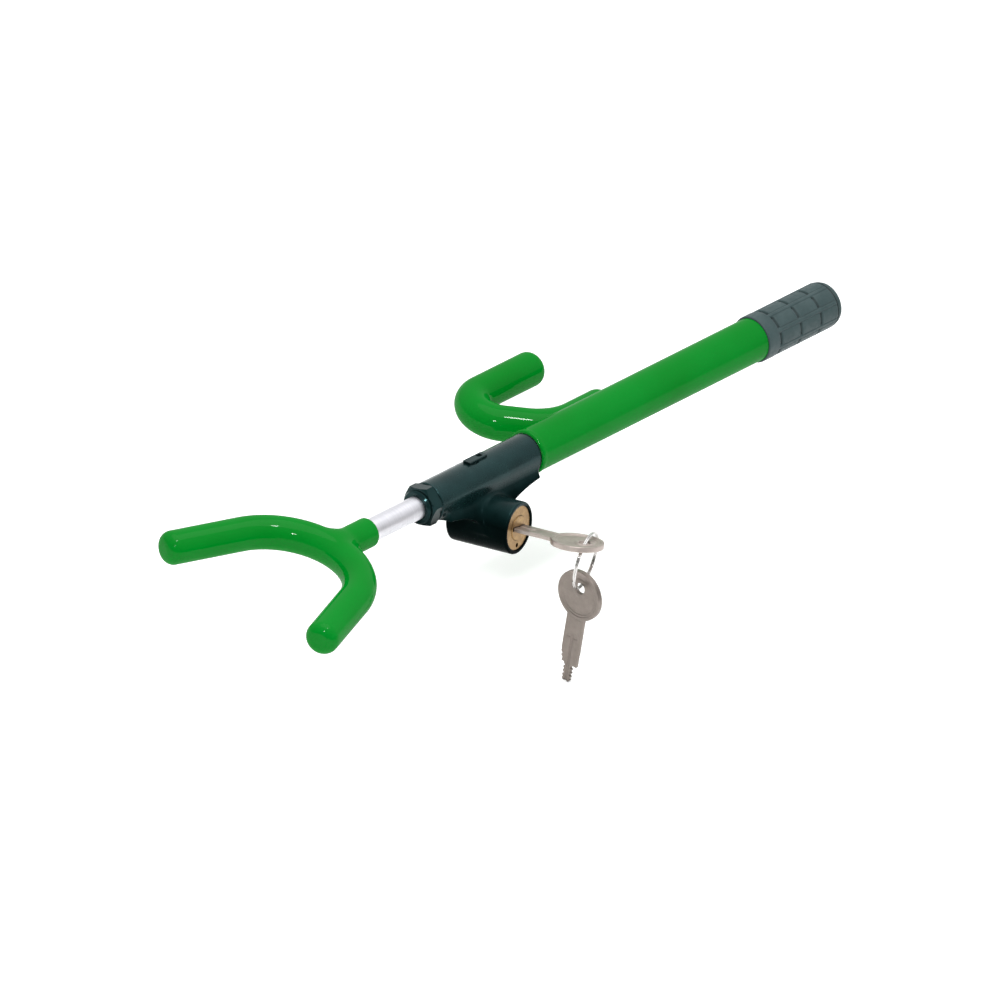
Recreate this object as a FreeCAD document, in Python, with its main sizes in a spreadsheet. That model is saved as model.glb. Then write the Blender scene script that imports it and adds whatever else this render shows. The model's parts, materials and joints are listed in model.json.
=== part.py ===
import FreeCAD, Part
import math
import os

import Sketcher

# Steering wheel lock: a coated tube with a fixed hook, a lock head and a sliding shaft with a fork.
# Millimetres. Origin on the shaft's axis at the seam between the lock head and the main tube.
# +X runs along the shaft towards the grip, +Z is up, and the lock faces roughly -Y.

# ---------------------------------------------------------------- driving dimensions

DIMENSIONS = {
    # main tube and its vinyl
    "tube_outer_r": 11.0,
    "tube_inner_r": 9.0,
    "tube_length": 239.5,
    "tube_coat_r": 12.0,
    "tube_coat_end": 184.0,
    "tube_bead_r": 12.5,
    "tube_bead_length": 4.0,
    # fixed hook
    "hook_rod_r": 8.4,
    "hook_coat_r": 9.6,
    "hook_leg_y": 16.5,
    "hook_plane_z": -10.6,
    "hook_leg_end": 84.0,
    "hook_bend_start": 58.5,
    "hook_bend_r": 34.0,
    "hook_bend_angle": 48.0,
    "hook_return_r": 16.0,
    "hook_return_y": 63.4,
    "hook_tip_x": 81.0,
    "rod_tip_round": 6.0,
    "coat_tip": 1.2,
    "weld_gap": 4.0,
    "weld_height": 9.0,
    # grip
    "grip_start": 182.5,
    "grip_length": 57.5,
    "grip_floor_r": 12.1,
    "grip_outer_r": 13.0,
    "grip_band": 8.0,
    "grip_end_band": 1.5,
    "grip_rows": 8,
    "grip_groove": 0.6,
    "grip_turn": 8.5,
    "grip_rib_half": 1.15,
    "grip_cross_first": 9.0,
    "grip_cross_pitch": 16.3,
    "grip_cross_count": 3,
    "grip_cross_length": 1.7,
    "grip_cross_width": 7.1,
    "end_plug_flange": 5.0,
    "end_plug_r": 12.3,
    "end_plug_depth": 10.0,
    "end_plug_gap": 0.6,
    # shaft
    "shaft_r": 6.35,
    "shaft_start": -152.0,
    "shaft_end": 224.0,
    "shaft_groove_r": 4.35,
    "shaft_groove_width": 6.6,
    "shaft_groove_pitch": 12.0,
    "shaft_groove_count": 17,
    "shaft_step_x": 204.0,
    "shaft_step_r": 5.0,
    "clip_groove_x": 221.3,
    "clip_width": 1.2,
    "clip_groove_depth": 0.8,
    "clip_outer_r": 7.2,
    "running_gap": 0.06,
    "bush_start": 204.2,
    "bush_length": 17.0,
    # fork
    "fork_rod_r": 8.0,
    "fork_coat_r": 9.2,
    "fork_rod_x": -155.2,
    "fork_bend_r": 42.0,
    "fork_spread": 18.7,
    "fork_tip_x": -227.2,
    "fork_collar_r": 8.15,
    "fork_collar_end": -126.5,
    # lock head
    "barrel_start": -79.5,
    "barrel_r": 11.0,
    "spigot_length": 12.0,
    "boss_start": -85.5,
    "boss_r": 8.9,
    "shaft_bore_gap": 0.1,
    "front_bush_r": 8.0,
    "front_bush_length": 12.0,
    "nut_start": -88.5,
    "nut_length": 9.0,
    "nut_across_flats": 20.6,
    "nut_lip": 1.7,
    "nut_ring_r": 9.4,
    "head_roll": 10.5,
    "lock_yaw": 10.3,
    "lock_drop": 21.2,
    "bolt_x": -43.4,
    "lock_face": 28.0,
    "lock_rim": 0.6,
    "lock_body_r": 14.3,
    "lock_body_back": -8.0,
    "lock_body_round": 2.5,
    "web_far_half": 6.5,
    "web_near_half": 19.0,
    "web_top_half": 8.0,
    "web_front": -74.0,
    "web_back": -2.0,
    "web_top": -2.0,
    "web_root": -10.0,
    "web_foot": 11.4,
    "web_front_bow": 14.4,
    "web_back_bow": 16.4,
    "web_front_bow_z": -14.0,
    "web_back_bow_z": -14.6,
    "chamber_r": 8.2,
    "chamber_end": -6.0,
    # lock cylinder
    "cylinder_r": 12.0,
    "cylinder_back": 6.0,
    "plug_r": 6.9,
    "plug_back": 4.2,
    "plug_proud": 0.5,
    "plug_chamfer": 0.4,
    "plug_clip_z": 4.7,
    "plug_clip_width": 1.0,
    "plug_clip_outer_r": 7.9,
    "plug_clip_depth": 0.9,
    "cam_pin_r": 1.0,
    "cam_pin_end": -5.0,
    "bolt_lift": 2.0,
    "bolt_r": 3.0,
    "bolt_tip_gap": 0.3,
    "bolt_foot_width": 8.4,
    "bolt_foot_side": 3.6,
    "bolt_foot_depth": 7.0,
    "bolt_foot_top": 2.6,
    "bolt_foot_bottom": -4.4,
    "cam_slot_gap": 0.15,
    "cover_plug_length": 14.0,
    "cover_plug_width": 4.6,
    "cover_plug_start": -48.0,
    "cover_plug_proud": 1.3,
    "cover_slot_x": 8.6,
    "cover_slot_length": 3.2,
    "cover_slot_width": 2.6,
    "cover_slot_depth": 0.8,
    "grub_r": 1.25,
    "grub_orbit": 9.6,
    "grub_length": 6.0,
    "grub_recess": 1.2,
    "grub_angle": 262.0,
    "wafer_count": 4,
    "wafer_pitch": 2.6,
    "wafer_first": 10.9,
    "wafer_thickness": 1.2,
    "wafer_height": 10.4,
    "wafer_width": 8.4,
    "wafer_window_height": 4.4,
    "broach_height": 16.2,
    "broach_end": 24.0,
    # keys
    "key_thickness": 2.0,
    "key_neck_width": 11.6,
    "key_bit_width": 11.2,
    "key_tip_width": 5.4,
    "key_tip_length": 10.6,
    "key_bit_length": 7.4,
    "key_neck_length": 21.2,
    "key_bow_r": 14.2,
    "key_bow_thickness": 2.2,
    "key_rim_width": 1.6,
    "key_rim_height": 0.35,
    "key_hole_offset": 4.4,
    "key_hole_r": 3.1,
    "key_boss_width": 1.3,
    "key_boss_height": 0.15,
    "key_groove_width": 1.6,
    "key_groove_depth": 0.5,
    "key_slack": 0.12,
    "key_turn": -12.0,
    # ring
    "ring_r": 15.4,
    "ring_wire_r": 0.5,
    "ring_coil_offset": 0.45,
    "ring_heading": 19.2,
    "ring_half_chord": 10.2,
    "spare_heading": 90.0,
    "spare_hang": 1.7,
}

doc = FreeCAD.newDocument("SteeringWheelLock")
sheet = doc.addObject("Spreadsheet::Sheet", "Dims")


def fill_sheet():
    """Put every driving dimension in the sheet, one row each, under its own name."""
    for row, (alias, value) in enumerate(DIMENSIONS.items(), start=1):
        sheet.set(f"A{row}", alias)
        sheet.set(f"B{row}", str(value))
        sheet.setAlias(f"B{row}", alias)
    doc.recompute()


def mm(alias):
    """A driving dimension as a number, for placements and outlines worked out in code."""
    return float(sheet.get(alias))


def linked(text):
    """Turn 'tube_length + 2' into an expression that reads the sheet."""
    words = []
    for word in text.replace("(", " ( ").replace(")", " ) ").split():
        words.append(f"Dims.{word}" if word in DIMENSIONS else word)
    return " ".join(words)


# ---------------------------------------------------------------- building blocks

TURN = {
    "X": FreeCAD.Rotation(FreeCAD.Vector(0, 1, 0), 90),
    "Y": FreeCAD.Rotation(FreeCAD.Vector(1, 0, 0), -90),
    "Z": FreeCAD.Rotation(),
}


def put_at(item, at):
    """Bind an object's position to expressions, where it isn't zero."""
    for axis, text in zip("xyz", at):
        if text != "0":
            item.setExpression(f"Placement.Base.{axis}", linked(text))


def cylinder(name, radius, length, at=("0", "0", "0"), axis="X"):
    """A cylinder along an axis, whose first end is at the given point."""
    item = doc.addObject("Part::Cylinder", name)
    item.setExpression("Radius", linked(radius))
    item.setExpression("Height", linked(length))
    item.Placement.Rotation = TURN[axis]
    put_at(item, at)
    return item


def box(name, size, at):
    """A box with its lowest corner at the given point."""
    item = doc.addObject("Part::Box", name)
    for prop, text in zip(("Length", "Width", "Height"), size):
        item.setExpression(prop, linked(text))
    put_at(item, at)
    return item


def fuse(name, *items):
    """One solid from several."""
    joined = doc.addObject("Part::MultiFuse", name)
    joined.Shapes = list(items)
    joined.Refine = True
    return joined


def cut(name, base, *tools):
    """The base with every tool taken out of it."""
    result = doc.addObject("Part::Cut", name)
    result.Base = base
    result.Tool = tools[0] if len(tools) == 1 else group(name + "_tools", tools)
    return result


def group(name, items):
    """Separate solids kept in one object."""
    together = doc.addObject("Part::Compound", name)
    together.Links = list(items)
    return together


def common(name, *items):
    """What several solids share."""
    shared = doc.addObject("Part::MultiCommon", name)
    shared.Shapes = list(items)
    return shared


def turned(name, outline):
    """A body revolved about X from an outline of (distance along X, radius) expressions."""
    body = doc.addObject("PartDesign::Body", name)
    plane = [face for face in body.Origin.OriginFeatures if face.Role == "XY_Plane"][0]
    sketch = body.newObject("Sketcher::SketchObject", name + "_profile")
    sketch.AttachmentSupport = [(plane, "")]
    sketch.MapMode = "FlatFace"
    points = [FreeCAD.Vector(value_of(x), value_of(r), 0) for x, r in outline]
    count = len(points)
    for index, start in enumerate(points):
        sketch.addGeometry(Part.LineSegment(start, points[(index + 1) % count]), False)
    for index, (x, r) in enumerate(outline):
        after = (index - 1) % count
        sketch.addConstraint(Sketcher.Constraint("Coincident", after, 2, index, 1))
        bind_point(sketch, "DistanceX", index, x)
        bind_point(sketch, "DistanceY", index, r)
    revolution = body.newObject("PartDesign::Revolution", name + "_turned")
    revolution.Profile = sketch
    revolution.ReferenceAxis = (sketch, ["H_Axis"])
    revolution.Angle = 360
    body.Tip = revolution
    return body


def bind_point(sketch, kind, index, text):
    """Hold one coordinate of a sketch line's start to an expression."""
    axis = -1 if kind == "DistanceY" else -2
    if text == "0":
        sketch.addConstraint(Sketcher.Constraint("PointOnObject", index, 1, axis))
        return
    number = sketch.addConstraint(Sketcher.Constraint(kind, -1, 1, index, 1, value_of(text)))
    sketch.setExpression(f"Constraints[{number}]", linked(text))


def value_of(text):
    """The number that an expression of the sheet's names stands for."""
    return float(sheet.evalExpression(linked(text)))


def arc_points(centre, radius, start, end):
    """The first, middle and last point of an arc in a level plane, from angles in degrees."""
    points = []
    for angle in (start, (start + end) / 2, end):
        turn = math.radians(angle)
        offset = FreeCAD.Vector(math.cos(turn), math.sin(turn), 0)
        points.append(centre + offset * radius)
    return points


def spine(name, edges):
    """A path of straight runs and tangent arcs."""
    path = doc.addObject("Part::Feature", name)
    path.Shape = Part.Wire([edge.toShape() for edge in edges])
    return path


def swept_rod(name, path, radius):
    """A round rod along a path, square at both ends."""
    first = path.Shape.OrderedVertexes[0].Point
    along = path.Shape.OrderedEdges[0].tangentAt(path.Shape.OrderedEdges[0].FirstParameter)
    section = doc.addObject("Part::Circle", name + "_section")
    section.setExpression("Radius", linked(radius))
    section.Placement = FreeCAD.Placement(first, FreeCAD.Rotation(FreeCAD.Vector(0, 0, 1), along))
    rod = doc.addObject("Part::Sweep", name)
    rod.Sections = [section]
    rod.Spine = (path, [f"Edge{number + 1}" for number in range(len(path.Shape.Edges))])
    rod.Solid = True
    rod.Frenet = False
    return rod


def round_ends(name, rod, path, radius):
    """Round the edge of a rod's two end faces."""
    doc.recompute()
    ends = [path.Shape.OrderedVertexes[0].Point, path.Shape.OrderedVertexes[-1].Point]
    chosen = []
    for number, edge in enumerate(rod.Shape.Edges, start=1):
        is_circle = hasattr(edge, "Curve") and edge.Curve.TypeId == "Part::GeomCircle"
        if is_circle and min(edge.Curve.Center.distanceToPoint(end) for end in ends) < 0.01:
            chosen.append((number, radius, radius))
    rounded = doc.addObject("Part::Fillet", name)
    rounded.Base = rod
    rounded.Edges = chosen
    return rounded


# ---------------------------------------------------------------- frames of the lock head


def head_placement():
    """The lock head leans round the shaft's axis."""
    lean = FreeCAD.Rotation(FreeCAD.Vector(1, 0, 0), -mm("head_roll"))
    return FreeCAD.Placement(FreeCAD.Vector(), lean)


def lock_placement():
    """The lock's own frame: local Z leaves the lock's face and local Y points at the shaft."""
    yaw = FreeCAD.Rotation(FreeCAD.Vector(0, 0, 1), mm("lock_yaw"))
    stand = FreeCAD.Rotation(FreeCAD.Vector(1, 0, 0), 90)
    corner = FreeCAD.Vector(mm("bolt_x"), 0, -mm("lock_drop"))
    return head_placement() * FreeCAD.Placement(corner, yaw * stand)


def key_placement():
    """The keyway stands a little turned in the lock's frame."""
    turn = FreeCAD.Rotation(FreeCAD.Vector(0, 0, 1), mm("key_turn"))
    return lock_placement() * FreeCAD.Placement(FreeCAD.Vector(), turn)


# ---------------------------------------------------------------- tube, hook and grip


def hook_spine(name, tip):
    """The hook's centre line: a leg along the tube, a bend outwards and a tight return bend.

    tip is how far both ends run past the steel's ends."""
    level = mm("hook_plane_z")
    leg_y = mm("hook_leg_y")
    bend_r = mm("hook_bend_r")
    back_r = mm("hook_return_r")
    angle = mm("hook_bend_angle")
    turn = math.radians(angle)
    start = FreeCAD.Vector(mm("hook_leg_end") + tip, leg_y, level)
    bend_centre = FreeCAD.Vector(mm("hook_bend_start"), leg_y + bend_r, level)
    bend = arc_points(bend_centre, bend_r, 270, 270 - angle)
    back_y = mm("hook_return_y") - back_r
    level_change = back_y - back_r * math.cos(turn) - bend[2].y
    run = level_change / math.sin(turn)
    run_end = bend[2] + FreeCAD.Vector(-run * math.cos(turn), run * math.sin(turn), 0)
    back_centre = run_end + FreeCAD.Vector(back_r * math.sin(turn), back_r * math.cos(turn), 0)
    back = arc_points(back_centre, back_r, 270 - angle, 90)
    end = FreeCAD.Vector(mm("hook_tip_x") + tip, mm("hook_return_y"), level)
    edges = [
        Part.LineSegment(start, bend[0]),
        Part.Arc(*bend),
        Part.LineSegment(bend[2], run_end),
        Part.Arc(*back),
        Part.LineSegment(back[2], end),
    ]
    return spine(name, edges)


def make_hook():
    """The bent steel rod, the weld that holds it to the tube, and its vinyl."""
    steel_path = hook_spine("hook_centre_line", 0)
    steel = swept_rod("hook_steel", steel_path, "hook_rod_r")
    rod = round_ends("hook_rod", steel, steel_path, mm("rod_tip_round") - mm("coat_tip"))
    coat_path = hook_spine("hook_coat_line", mm("coat_tip"))
    thick = swept_rod("hook_coat_outside", coat_path, "hook_coat_r")
    rounded = round_ends("hook_coat_rounded", thick, coat_path, mm("rod_tip_round"))
    bead = doc.addObject("Part::Box", "weld_blank")
    bead.setExpression("Length", linked("hook_leg_end - hook_bend_start"))
    bead.setExpression("Width", linked("weld_gap"))
    bead.setExpression("Height", linked("weld_height"))
    lean = math.degrees(math.atan2(-mm("hook_plane_z"), mm("hook_leg_y")))
    towards_rod = FreeCAD.Rotation(FreeCAD.Vector(1, 0, 0), -lean)
    base = FreeCAD.Placement(FreeCAD.Vector(mm("hook_bend_start"), 0, 0), towards_rod)
    corner = FreeCAD.Vector(0, mm("tube_outer_r") - mm("weld_gap") / 2, -mm("weld_height") / 2)
    bead.Placement = base * FreeCAD.Placement(corner, FreeCAD.Rotation())
    tube_room = cylinder("weld_tube_room", "tube_outer_r", "tube_length")
    weld = cut("hook_weld", bead, tube_room, rod)
    coat_room = cylinder("hook_coat_tube_room", "tube_coat_r", "tube_length")
    coat = cut("hook_coating", rounded, rod, coat_room, weld)
    return rod, weld, coat


def make_tube(rod, weld):
    """The main tube and the vinyl on it, with a thicker lip at the lock head."""
    tube = turned("main_tube", [
        ("0", "tube_inner_r"),
        ("tube_length", "tube_inner_r"),
        ("tube_length", "tube_outer_r"),
        ("0", "tube_outer_r"),
    ])
    sleeve = turned("tube_vinyl", [
        ("0", "tube_outer_r"),
        ("tube_coat_end", "tube_outer_r"),
        ("tube_coat_end", "tube_coat_r"),
        ("tube_bead_length", "tube_coat_r"),
        ("tube_bead_length - 1.5", "tube_bead_r"),
        ("1.0", "tube_bead_r"),
        ("0", "tube_coat_r"),
    ])
    coat = cut("tube_coating", sleeve, rod, weld)
    return tube, coat


def grip_groove(name, angle, start, length, width):
    """A cutter for one groove: how far it lies round the grip, and along it from the front."""
    groove = doc.addObject("Part::Box", name)
    groove.Length = length
    groove.Width = width
    groove.setExpression("Height", linked("grip_outer_r - grip_floor_r + 1"))
    corner = FreeCAD.Vector(start, -width / 2, mm("grip_floor_r"))
    turn = FreeCAD.Rotation(FreeCAD.Vector(1, 0, 0), angle)
    groove.Placement = FreeCAD.Placement(FreeCAD.Vector(), turn) * FreeCAD.Placement(
        corner, FreeCAD.Rotation())
    return groove


def make_grip():
    """The rubber sleeve with its staggered blocks, and the plug that closes the tube."""
    blank = turned("grip_blank", [
        ("0", "tube_outer_r"),
        ("grip_length", "tube_outer_r"),
        ("grip_length", "grip_outer_r - 0.9"),
        ("grip_length - 1.4", "grip_outer_r"),
        ("0.7", "grip_outer_r"),
        ("0", "grip_outer_r - 0.7"),
    ])
    coat_room = cylinder("grip_coat_room", "tube_coat_r", "tube_coat_end - grip_start")
    rows = int(mm("grip_rows"))
    long_length = mm("grip_length") - mm("grip_band") - mm("grip_end_band")
    beside_rib = math.degrees(mm("grip_rib_half") / mm("grip_outer_r"))
    grooves = []
    for row in range(rows):
        angle = mm("grip_turn") + 360.0 / rows * row
        for side in (-1, 1):
            name = f"grip_long_groove_{row}_{'left' if side < 0 else 'right'}"
            turn = angle + side * beside_rib
            grooves.append(grip_groove(name, turn, mm("grip_band"), long_length, mm("grip_groove")))
        for number in range(int(mm("grip_cross_count"))):
            start = mm("grip_cross_first") + mm("grip_cross_pitch") * number
            grooves.append(grip_groove(f"grip_cross_{row}_{number}", angle + 180.0 / rows, start,
                                       mm("grip_cross_length"), mm("grip_cross_width")))
    tools = fuse("grip_grooves", *grooves)
    core = cylinder("grip_core", "grip_floor_r", "grip_length + 2")
    outside = cut("grip_groove_ring", tools, core)
    sleeve = cut("grip_sleeve", blank, outside, coat_room)
    sleeve.setExpression("Placement.Base.x", linked("grip_start"))
    plug = turned("tube_end_plug", [
        ("0", "0"),
        ("end_plug_depth + end_plug_flange", "0"),
        ("end_plug_depth + end_plug_flange", "end_plug_r - 5.0"),
        ("end_plug_depth + end_plug_flange - 0.7", "end_plug_r - 2.6"),
        ("end_plug_depth + end_plug_flange - 2.2", "end_plug_r - 0.6"),
        ("end_plug_depth + end_plug_flange - 3.6", "end_plug_r"),
        ("end_plug_depth + end_plug_gap", "end_plug_r"),
        ("end_plug_depth + end_plug_gap", "tube_outer_r - 0.5"),
        ("end_plug_depth", "tube_outer_r - 0.5"),
        ("end_plug_depth", "tube_inner_r"),
        ("0", "tube_inner_r"),
    ])
    plug.setExpression("Placement.Base.x", linked("tube_length - end_plug_depth"))
    return sleeve, plug


# ---------------------------------------------------------------- shaft and fork


def make_shaft():
    """The sliding shaft with its row of ring grooves, its inner guide bush and its clip."""
    rod = turned("shaft_blank", [
        ("0", "0"),
        ("shaft_end - shaft_start", "0"),
        ("shaft_end - shaft_start", "shaft_step_r - 0.6"),
        ("shaft_end - shaft_start - 0.6", "shaft_step_r"),
        ("clip_groove_x - shaft_start + clip_width", "shaft_step_r"),
        ("clip_groove_x - shaft_start + clip_width", "shaft_step_r - clip_groove_depth"),
        ("clip_groove_x - shaft_start", "shaft_step_r - clip_groove_depth"),
        ("clip_groove_x - shaft_start", "shaft_step_r"),
        ("shaft_step_x - shaft_start", "shaft_step_r"),
        ("shaft_step_x - shaft_start", "shaft_r"),
        ("0", "shaft_r"),
    ])
    rod.setExpression("Placement.Base.x", linked("shaft_start"))
    rings = []
    for number in range(int(mm("shaft_groove_count"))):
        middle = f"bolt_x + shaft_groove_pitch * {number}"
        outer = cylinder(f"shaft_ring_{number}", "shaft_r + 1", "shaft_groove_width",
                         (middle + " - shaft_groove_width / 2", "0", "0"))
        rings.append(outer)
    core = cylinder("shaft_ring_core", "shaft_groove_r", "shaft_end", ("bolt_x - 10", "0", "0"))
    grooves = cut("shaft_grooves", group("shaft_rings", rings), core)
    shaft = cut("shaft", rod, grooves)
    bush = turned("shaft_guide_bush", [
        ("0", "shaft_step_r + running_gap"),
        ("bush_length", "shaft_step_r + running_gap"),
        ("bush_length", "tube_inner_r - running_gap - 0.5"),
        ("bush_length - 0.8", "tube_inner_r - running_gap"),
        ("0.8", "tube_inner_r - running_gap"),
        ("0", "tube_inner_r - running_gap - 0.5"),
    ])
    bush.setExpression("Placement.Base.x", linked("bush_start"))
    ring = cylinder("circlip_ring", "clip_outer_r", "clip_width", ("clip_groove_x", "0", "0"))
    hole = cylinder("circlip_hole", "shaft_step_r - clip_groove_depth", "clip_width",
                    ("clip_groove_x", "0", "0"))
    mouth = box("circlip_mouth", ("clip_width", "6", "10"), ("clip_groove_x", "-3", "0"))
    clip = cut("shaft_circlip", ring, hole, mouth)
    return shaft, bush, clip


def fork_spine(name, tip):
    """The fork's centre line: two splayed arms joined by one round bend."""
    bend_r = mm("fork_bend_r")
    spread = mm("fork_spread")
    centre = FreeCAD.Vector(mm("fork_rod_x") - bend_r, 0, 0)
    bend = arc_points(centre, bend_r, 90 - spread, spread - 90)
    run = (bend[0].x - mm("fork_tip_x")) / math.cos(math.radians(spread)) + tip
    arm = FreeCAD.Vector(-math.cos(math.radians(spread)), math.sin(math.radians(spread)), 0) * run
    mirror = FreeCAD.Vector(arm.x, -arm.y, 0)
    edges = [
        Part.LineSegment(bend[0] + arm, bend[0]),
        Part.Arc(*bend),
        Part.LineSegment(bend[2], bend[2] + mirror),
    ]
    return spine(name, edges)


def make_fork(shaft):
    """The fork's steel, welded on the shaft's end, and its vinyl with the collar."""
    steel_path = fork_spine("fork_centre_line", 0)
    square = swept_rod("fork_square_steel", steel_path, "fork_rod_r")
    steel = round_ends("fork_steel", square, steel_path, mm("rod_tip_round") - mm("coat_tip"))
    rod = cut("fork_rod", steel, shaft)
    coat_path = fork_spine("fork_coat_line", mm("coat_tip"))
    thick = swept_rod("fork_coat_outside", coat_path, "fork_coat_r")
    rounded = round_ends("fork_coat_rounded", thick, coat_path, mm("rod_tip_round"))
    collar = turned("fork_collar", [
        ("0", "0"),
        ("fork_collar_end - fork_rod_x", "0"),
        ("fork_collar_end - fork_rod_x", "fork_collar_r - 1.2"),
        ("fork_collar_end - fork_rod_x - 1.0", "fork_collar_r - 0.2"),
        ("fork_collar_end - fork_rod_x - 4.0", "fork_collar_r"),
        ("17.0", "fork_collar_r"),
        ("9.0", "fork_collar_r + 1.0"),
        ("0", "fork_collar_r + 1.0"),
    ])
    collar.setExpression("Placement.Base.x", linked("fork_rod_x"))
    bead = turned("fork_weld_blank", [
        ("0", "0"),
        ("fork_rod_r + 2.6", "0"),
        ("fork_rod_r + 2.6", "shaft_r"),
        ("fork_rod_r + 0.2", "shaft_r + 1.3"),
        ("0", "shaft_r + 1.3"),
    ])
    bead.setExpression("Placement.Base.x", linked("fork_rod_x"))
    weld = cut("fork_weld", bead, steel, shaft)
    outside = fuse("fork_coat_blank", rounded, collar)
    coat = cut("fork_coating", outside, steel, weld, shaft)
    return rod, weld, coat


# ---------------------------------------------------------------- lock head


def make_housing():
    """The cast lock head: barrel, spigot, web and lock body in one piece, with its bores."""
    barrel = cylinder("head_barrel", "barrel_r", "0 - barrel_start", ("barrel_start", "0", "0"))
    boss = cylinder("head_boss", "boss_r", "barrel_start - boss_start", ("boss_start", "0", "0"))
    spigot = cylinder("head_spigot", "tube_inner_r", "spigot_length")
    web = make_web()
    body = make_lock_body()
    solid = fuse("head_solid", barrel, boss, spigot, web, body)
    bore = cylinder("head_bore", "shaft_r + shaft_bore_gap", "spigot_length - boss_start",
                    ("boss_start", "0", "0"))
    seat = cylinder("head_bush_seat", "front_bush_r", "front_bush_length", ("boss_start", "0", "0"))
    bolt_hole = cylinder("head_bolt_hole", "bolt_r + running_gap", "lock_drop + barrel_r + 2",
                         ("bolt_x", "0", "0 - lock_drop"), "Z")
    chamber = lock_tool("head_chamber", "chamber_r", "cylinder_back - chamber_end", "chamber_end")
    pocket = lock_tool("head_pocket", "cylinder_r", "lock_face - cylinder_back + 5", "cylinder_back")
    housing = cut("lock_housing", solid, bore, seat, bolt_hole, chamber, pocket)
    housing.Placement = head_placement()
    return housing


def lock_tool(name, radius, length, start):
    """A cylinder on the lock's axis, in the head's own frame."""
    item = doc.addObject("Part::Cylinder", name)
    item.setExpression("Radius", linked(radius))
    item.setExpression("Height", linked(length))
    in_head = head_placement().inverse() * lock_placement()
    offset = FreeCAD.Placement(FreeCAD.Vector(0, 0, mm(start)), FreeCAD.Rotation())
    item.Placement = in_head * offset
    return item


def make_lock_body():
    """The thick cross cylinder that holds the lock, rounded at its blind end."""
    blank = doc.addObject("Part::Cylinder", "lock_body_blank")
    blank.setExpression("Radius", linked("lock_body_r"))
    blank.setExpression("Height", linked("lock_face + lock_rim - lock_body_back"))
    in_head = head_placement().inverse() * lock_placement()
    offset = FreeCAD.Placement(FreeCAD.Vector(0, 0, mm("lock_body_back")), FreeCAD.Rotation())
    blank.Placement = in_head * offset
    doc.recompute()
    back = in_head.multVec(FreeCAD.Vector(0, 0, mm("lock_body_back")))
    front = in_head.multVec(FreeCAD.Vector(0, 0, mm("lock_face") + mm("lock_rim")))
    chosen = []
    for number, edge in enumerate(blank.Shape.Edges, start=1):
        if edge.Curve.TypeId != "Part::GeomCircle":
            continue
        if edge.Curve.Center.distanceToPoint(back) < 0.01:
            chosen.append((number, mm("lock_body_round"), mm("lock_body_round")))
        if edge.Curve.Center.distanceToPoint(front) < 0.01:
            chosen.append((number, 0.8, 0.8))
    body = doc.addObject("Part::Fillet", "lock_body")
    body.Base = blank
    body.Edges = chosen
    return body


def make_web():
    """The web between barrel and lock body: bowed in at both ends, and flared towards the face."""
    half = mm("web_far_half")
    near = -mm("web_near_half")
    front = mm("web_front")
    middle = mm("bolt_x")
    low = -mm("lock_drop")
    root = mm("web_root")
    corners = [
        FreeCAD.Vector(front, near, mm("web_top")),
        FreeCAD.Vector(mm("web_back"), near, mm("web_top")),
        FreeCAD.Vector(mm("web_back"), near, root),
        FreeCAD.Vector(middle + mm("web_foot"), near, low),
        FreeCAD.Vector(middle - mm("web_foot"), near, low),
        FreeCAD.Vector(front, near, root),
    ]
    bow_back = FreeCAD.Vector(middle + mm("web_back_bow"), near, mm("web_back_bow_z"))
    bow_front = FreeCAD.Vector(middle - mm("web_front_bow"), near, mm("web_front_bow_z"))
    edges = [
        Part.LineSegment(corners[0], corners[1]),
        Part.LineSegment(corners[1], corners[2]),
        Part.Arc(corners[2], bow_back, corners[3]),
        Part.LineSegment(corners[3], corners[4]),
        Part.Arc(corners[4], bow_front, corners[5]),
        Part.LineSegment(corners[5], corners[0]),
    ]
    outline = Part.Wire([edge.toShape() for edge in edges])
    plate = doc.addObject("Part::Feature", "web_plate")
    plate.Shape = Part.Face(outline).extrude(FreeCAD.Vector(0, half - near, 0))
    flank = [
        FreeCAD.Vector(front - 1, -mm("web_top_half"), mm("web_top")),
        FreeCAD.Vector(front - 1, half, mm("web_top")),
        FreeCAD.Vector(front - 1, half, low),
        FreeCAD.Vector(front - 1, near, low),
    ]
    flared = doc.addObject("Part::Feature", "web_flare")
    section = Part.Face(Part.makePolygon(flank + flank[:1]))
    flared.Shape = section.extrude(FreeCAD.Vector(mm("web_back") - front + 2, 0, 0))
    return common("head_web", plate, flared)


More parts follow.
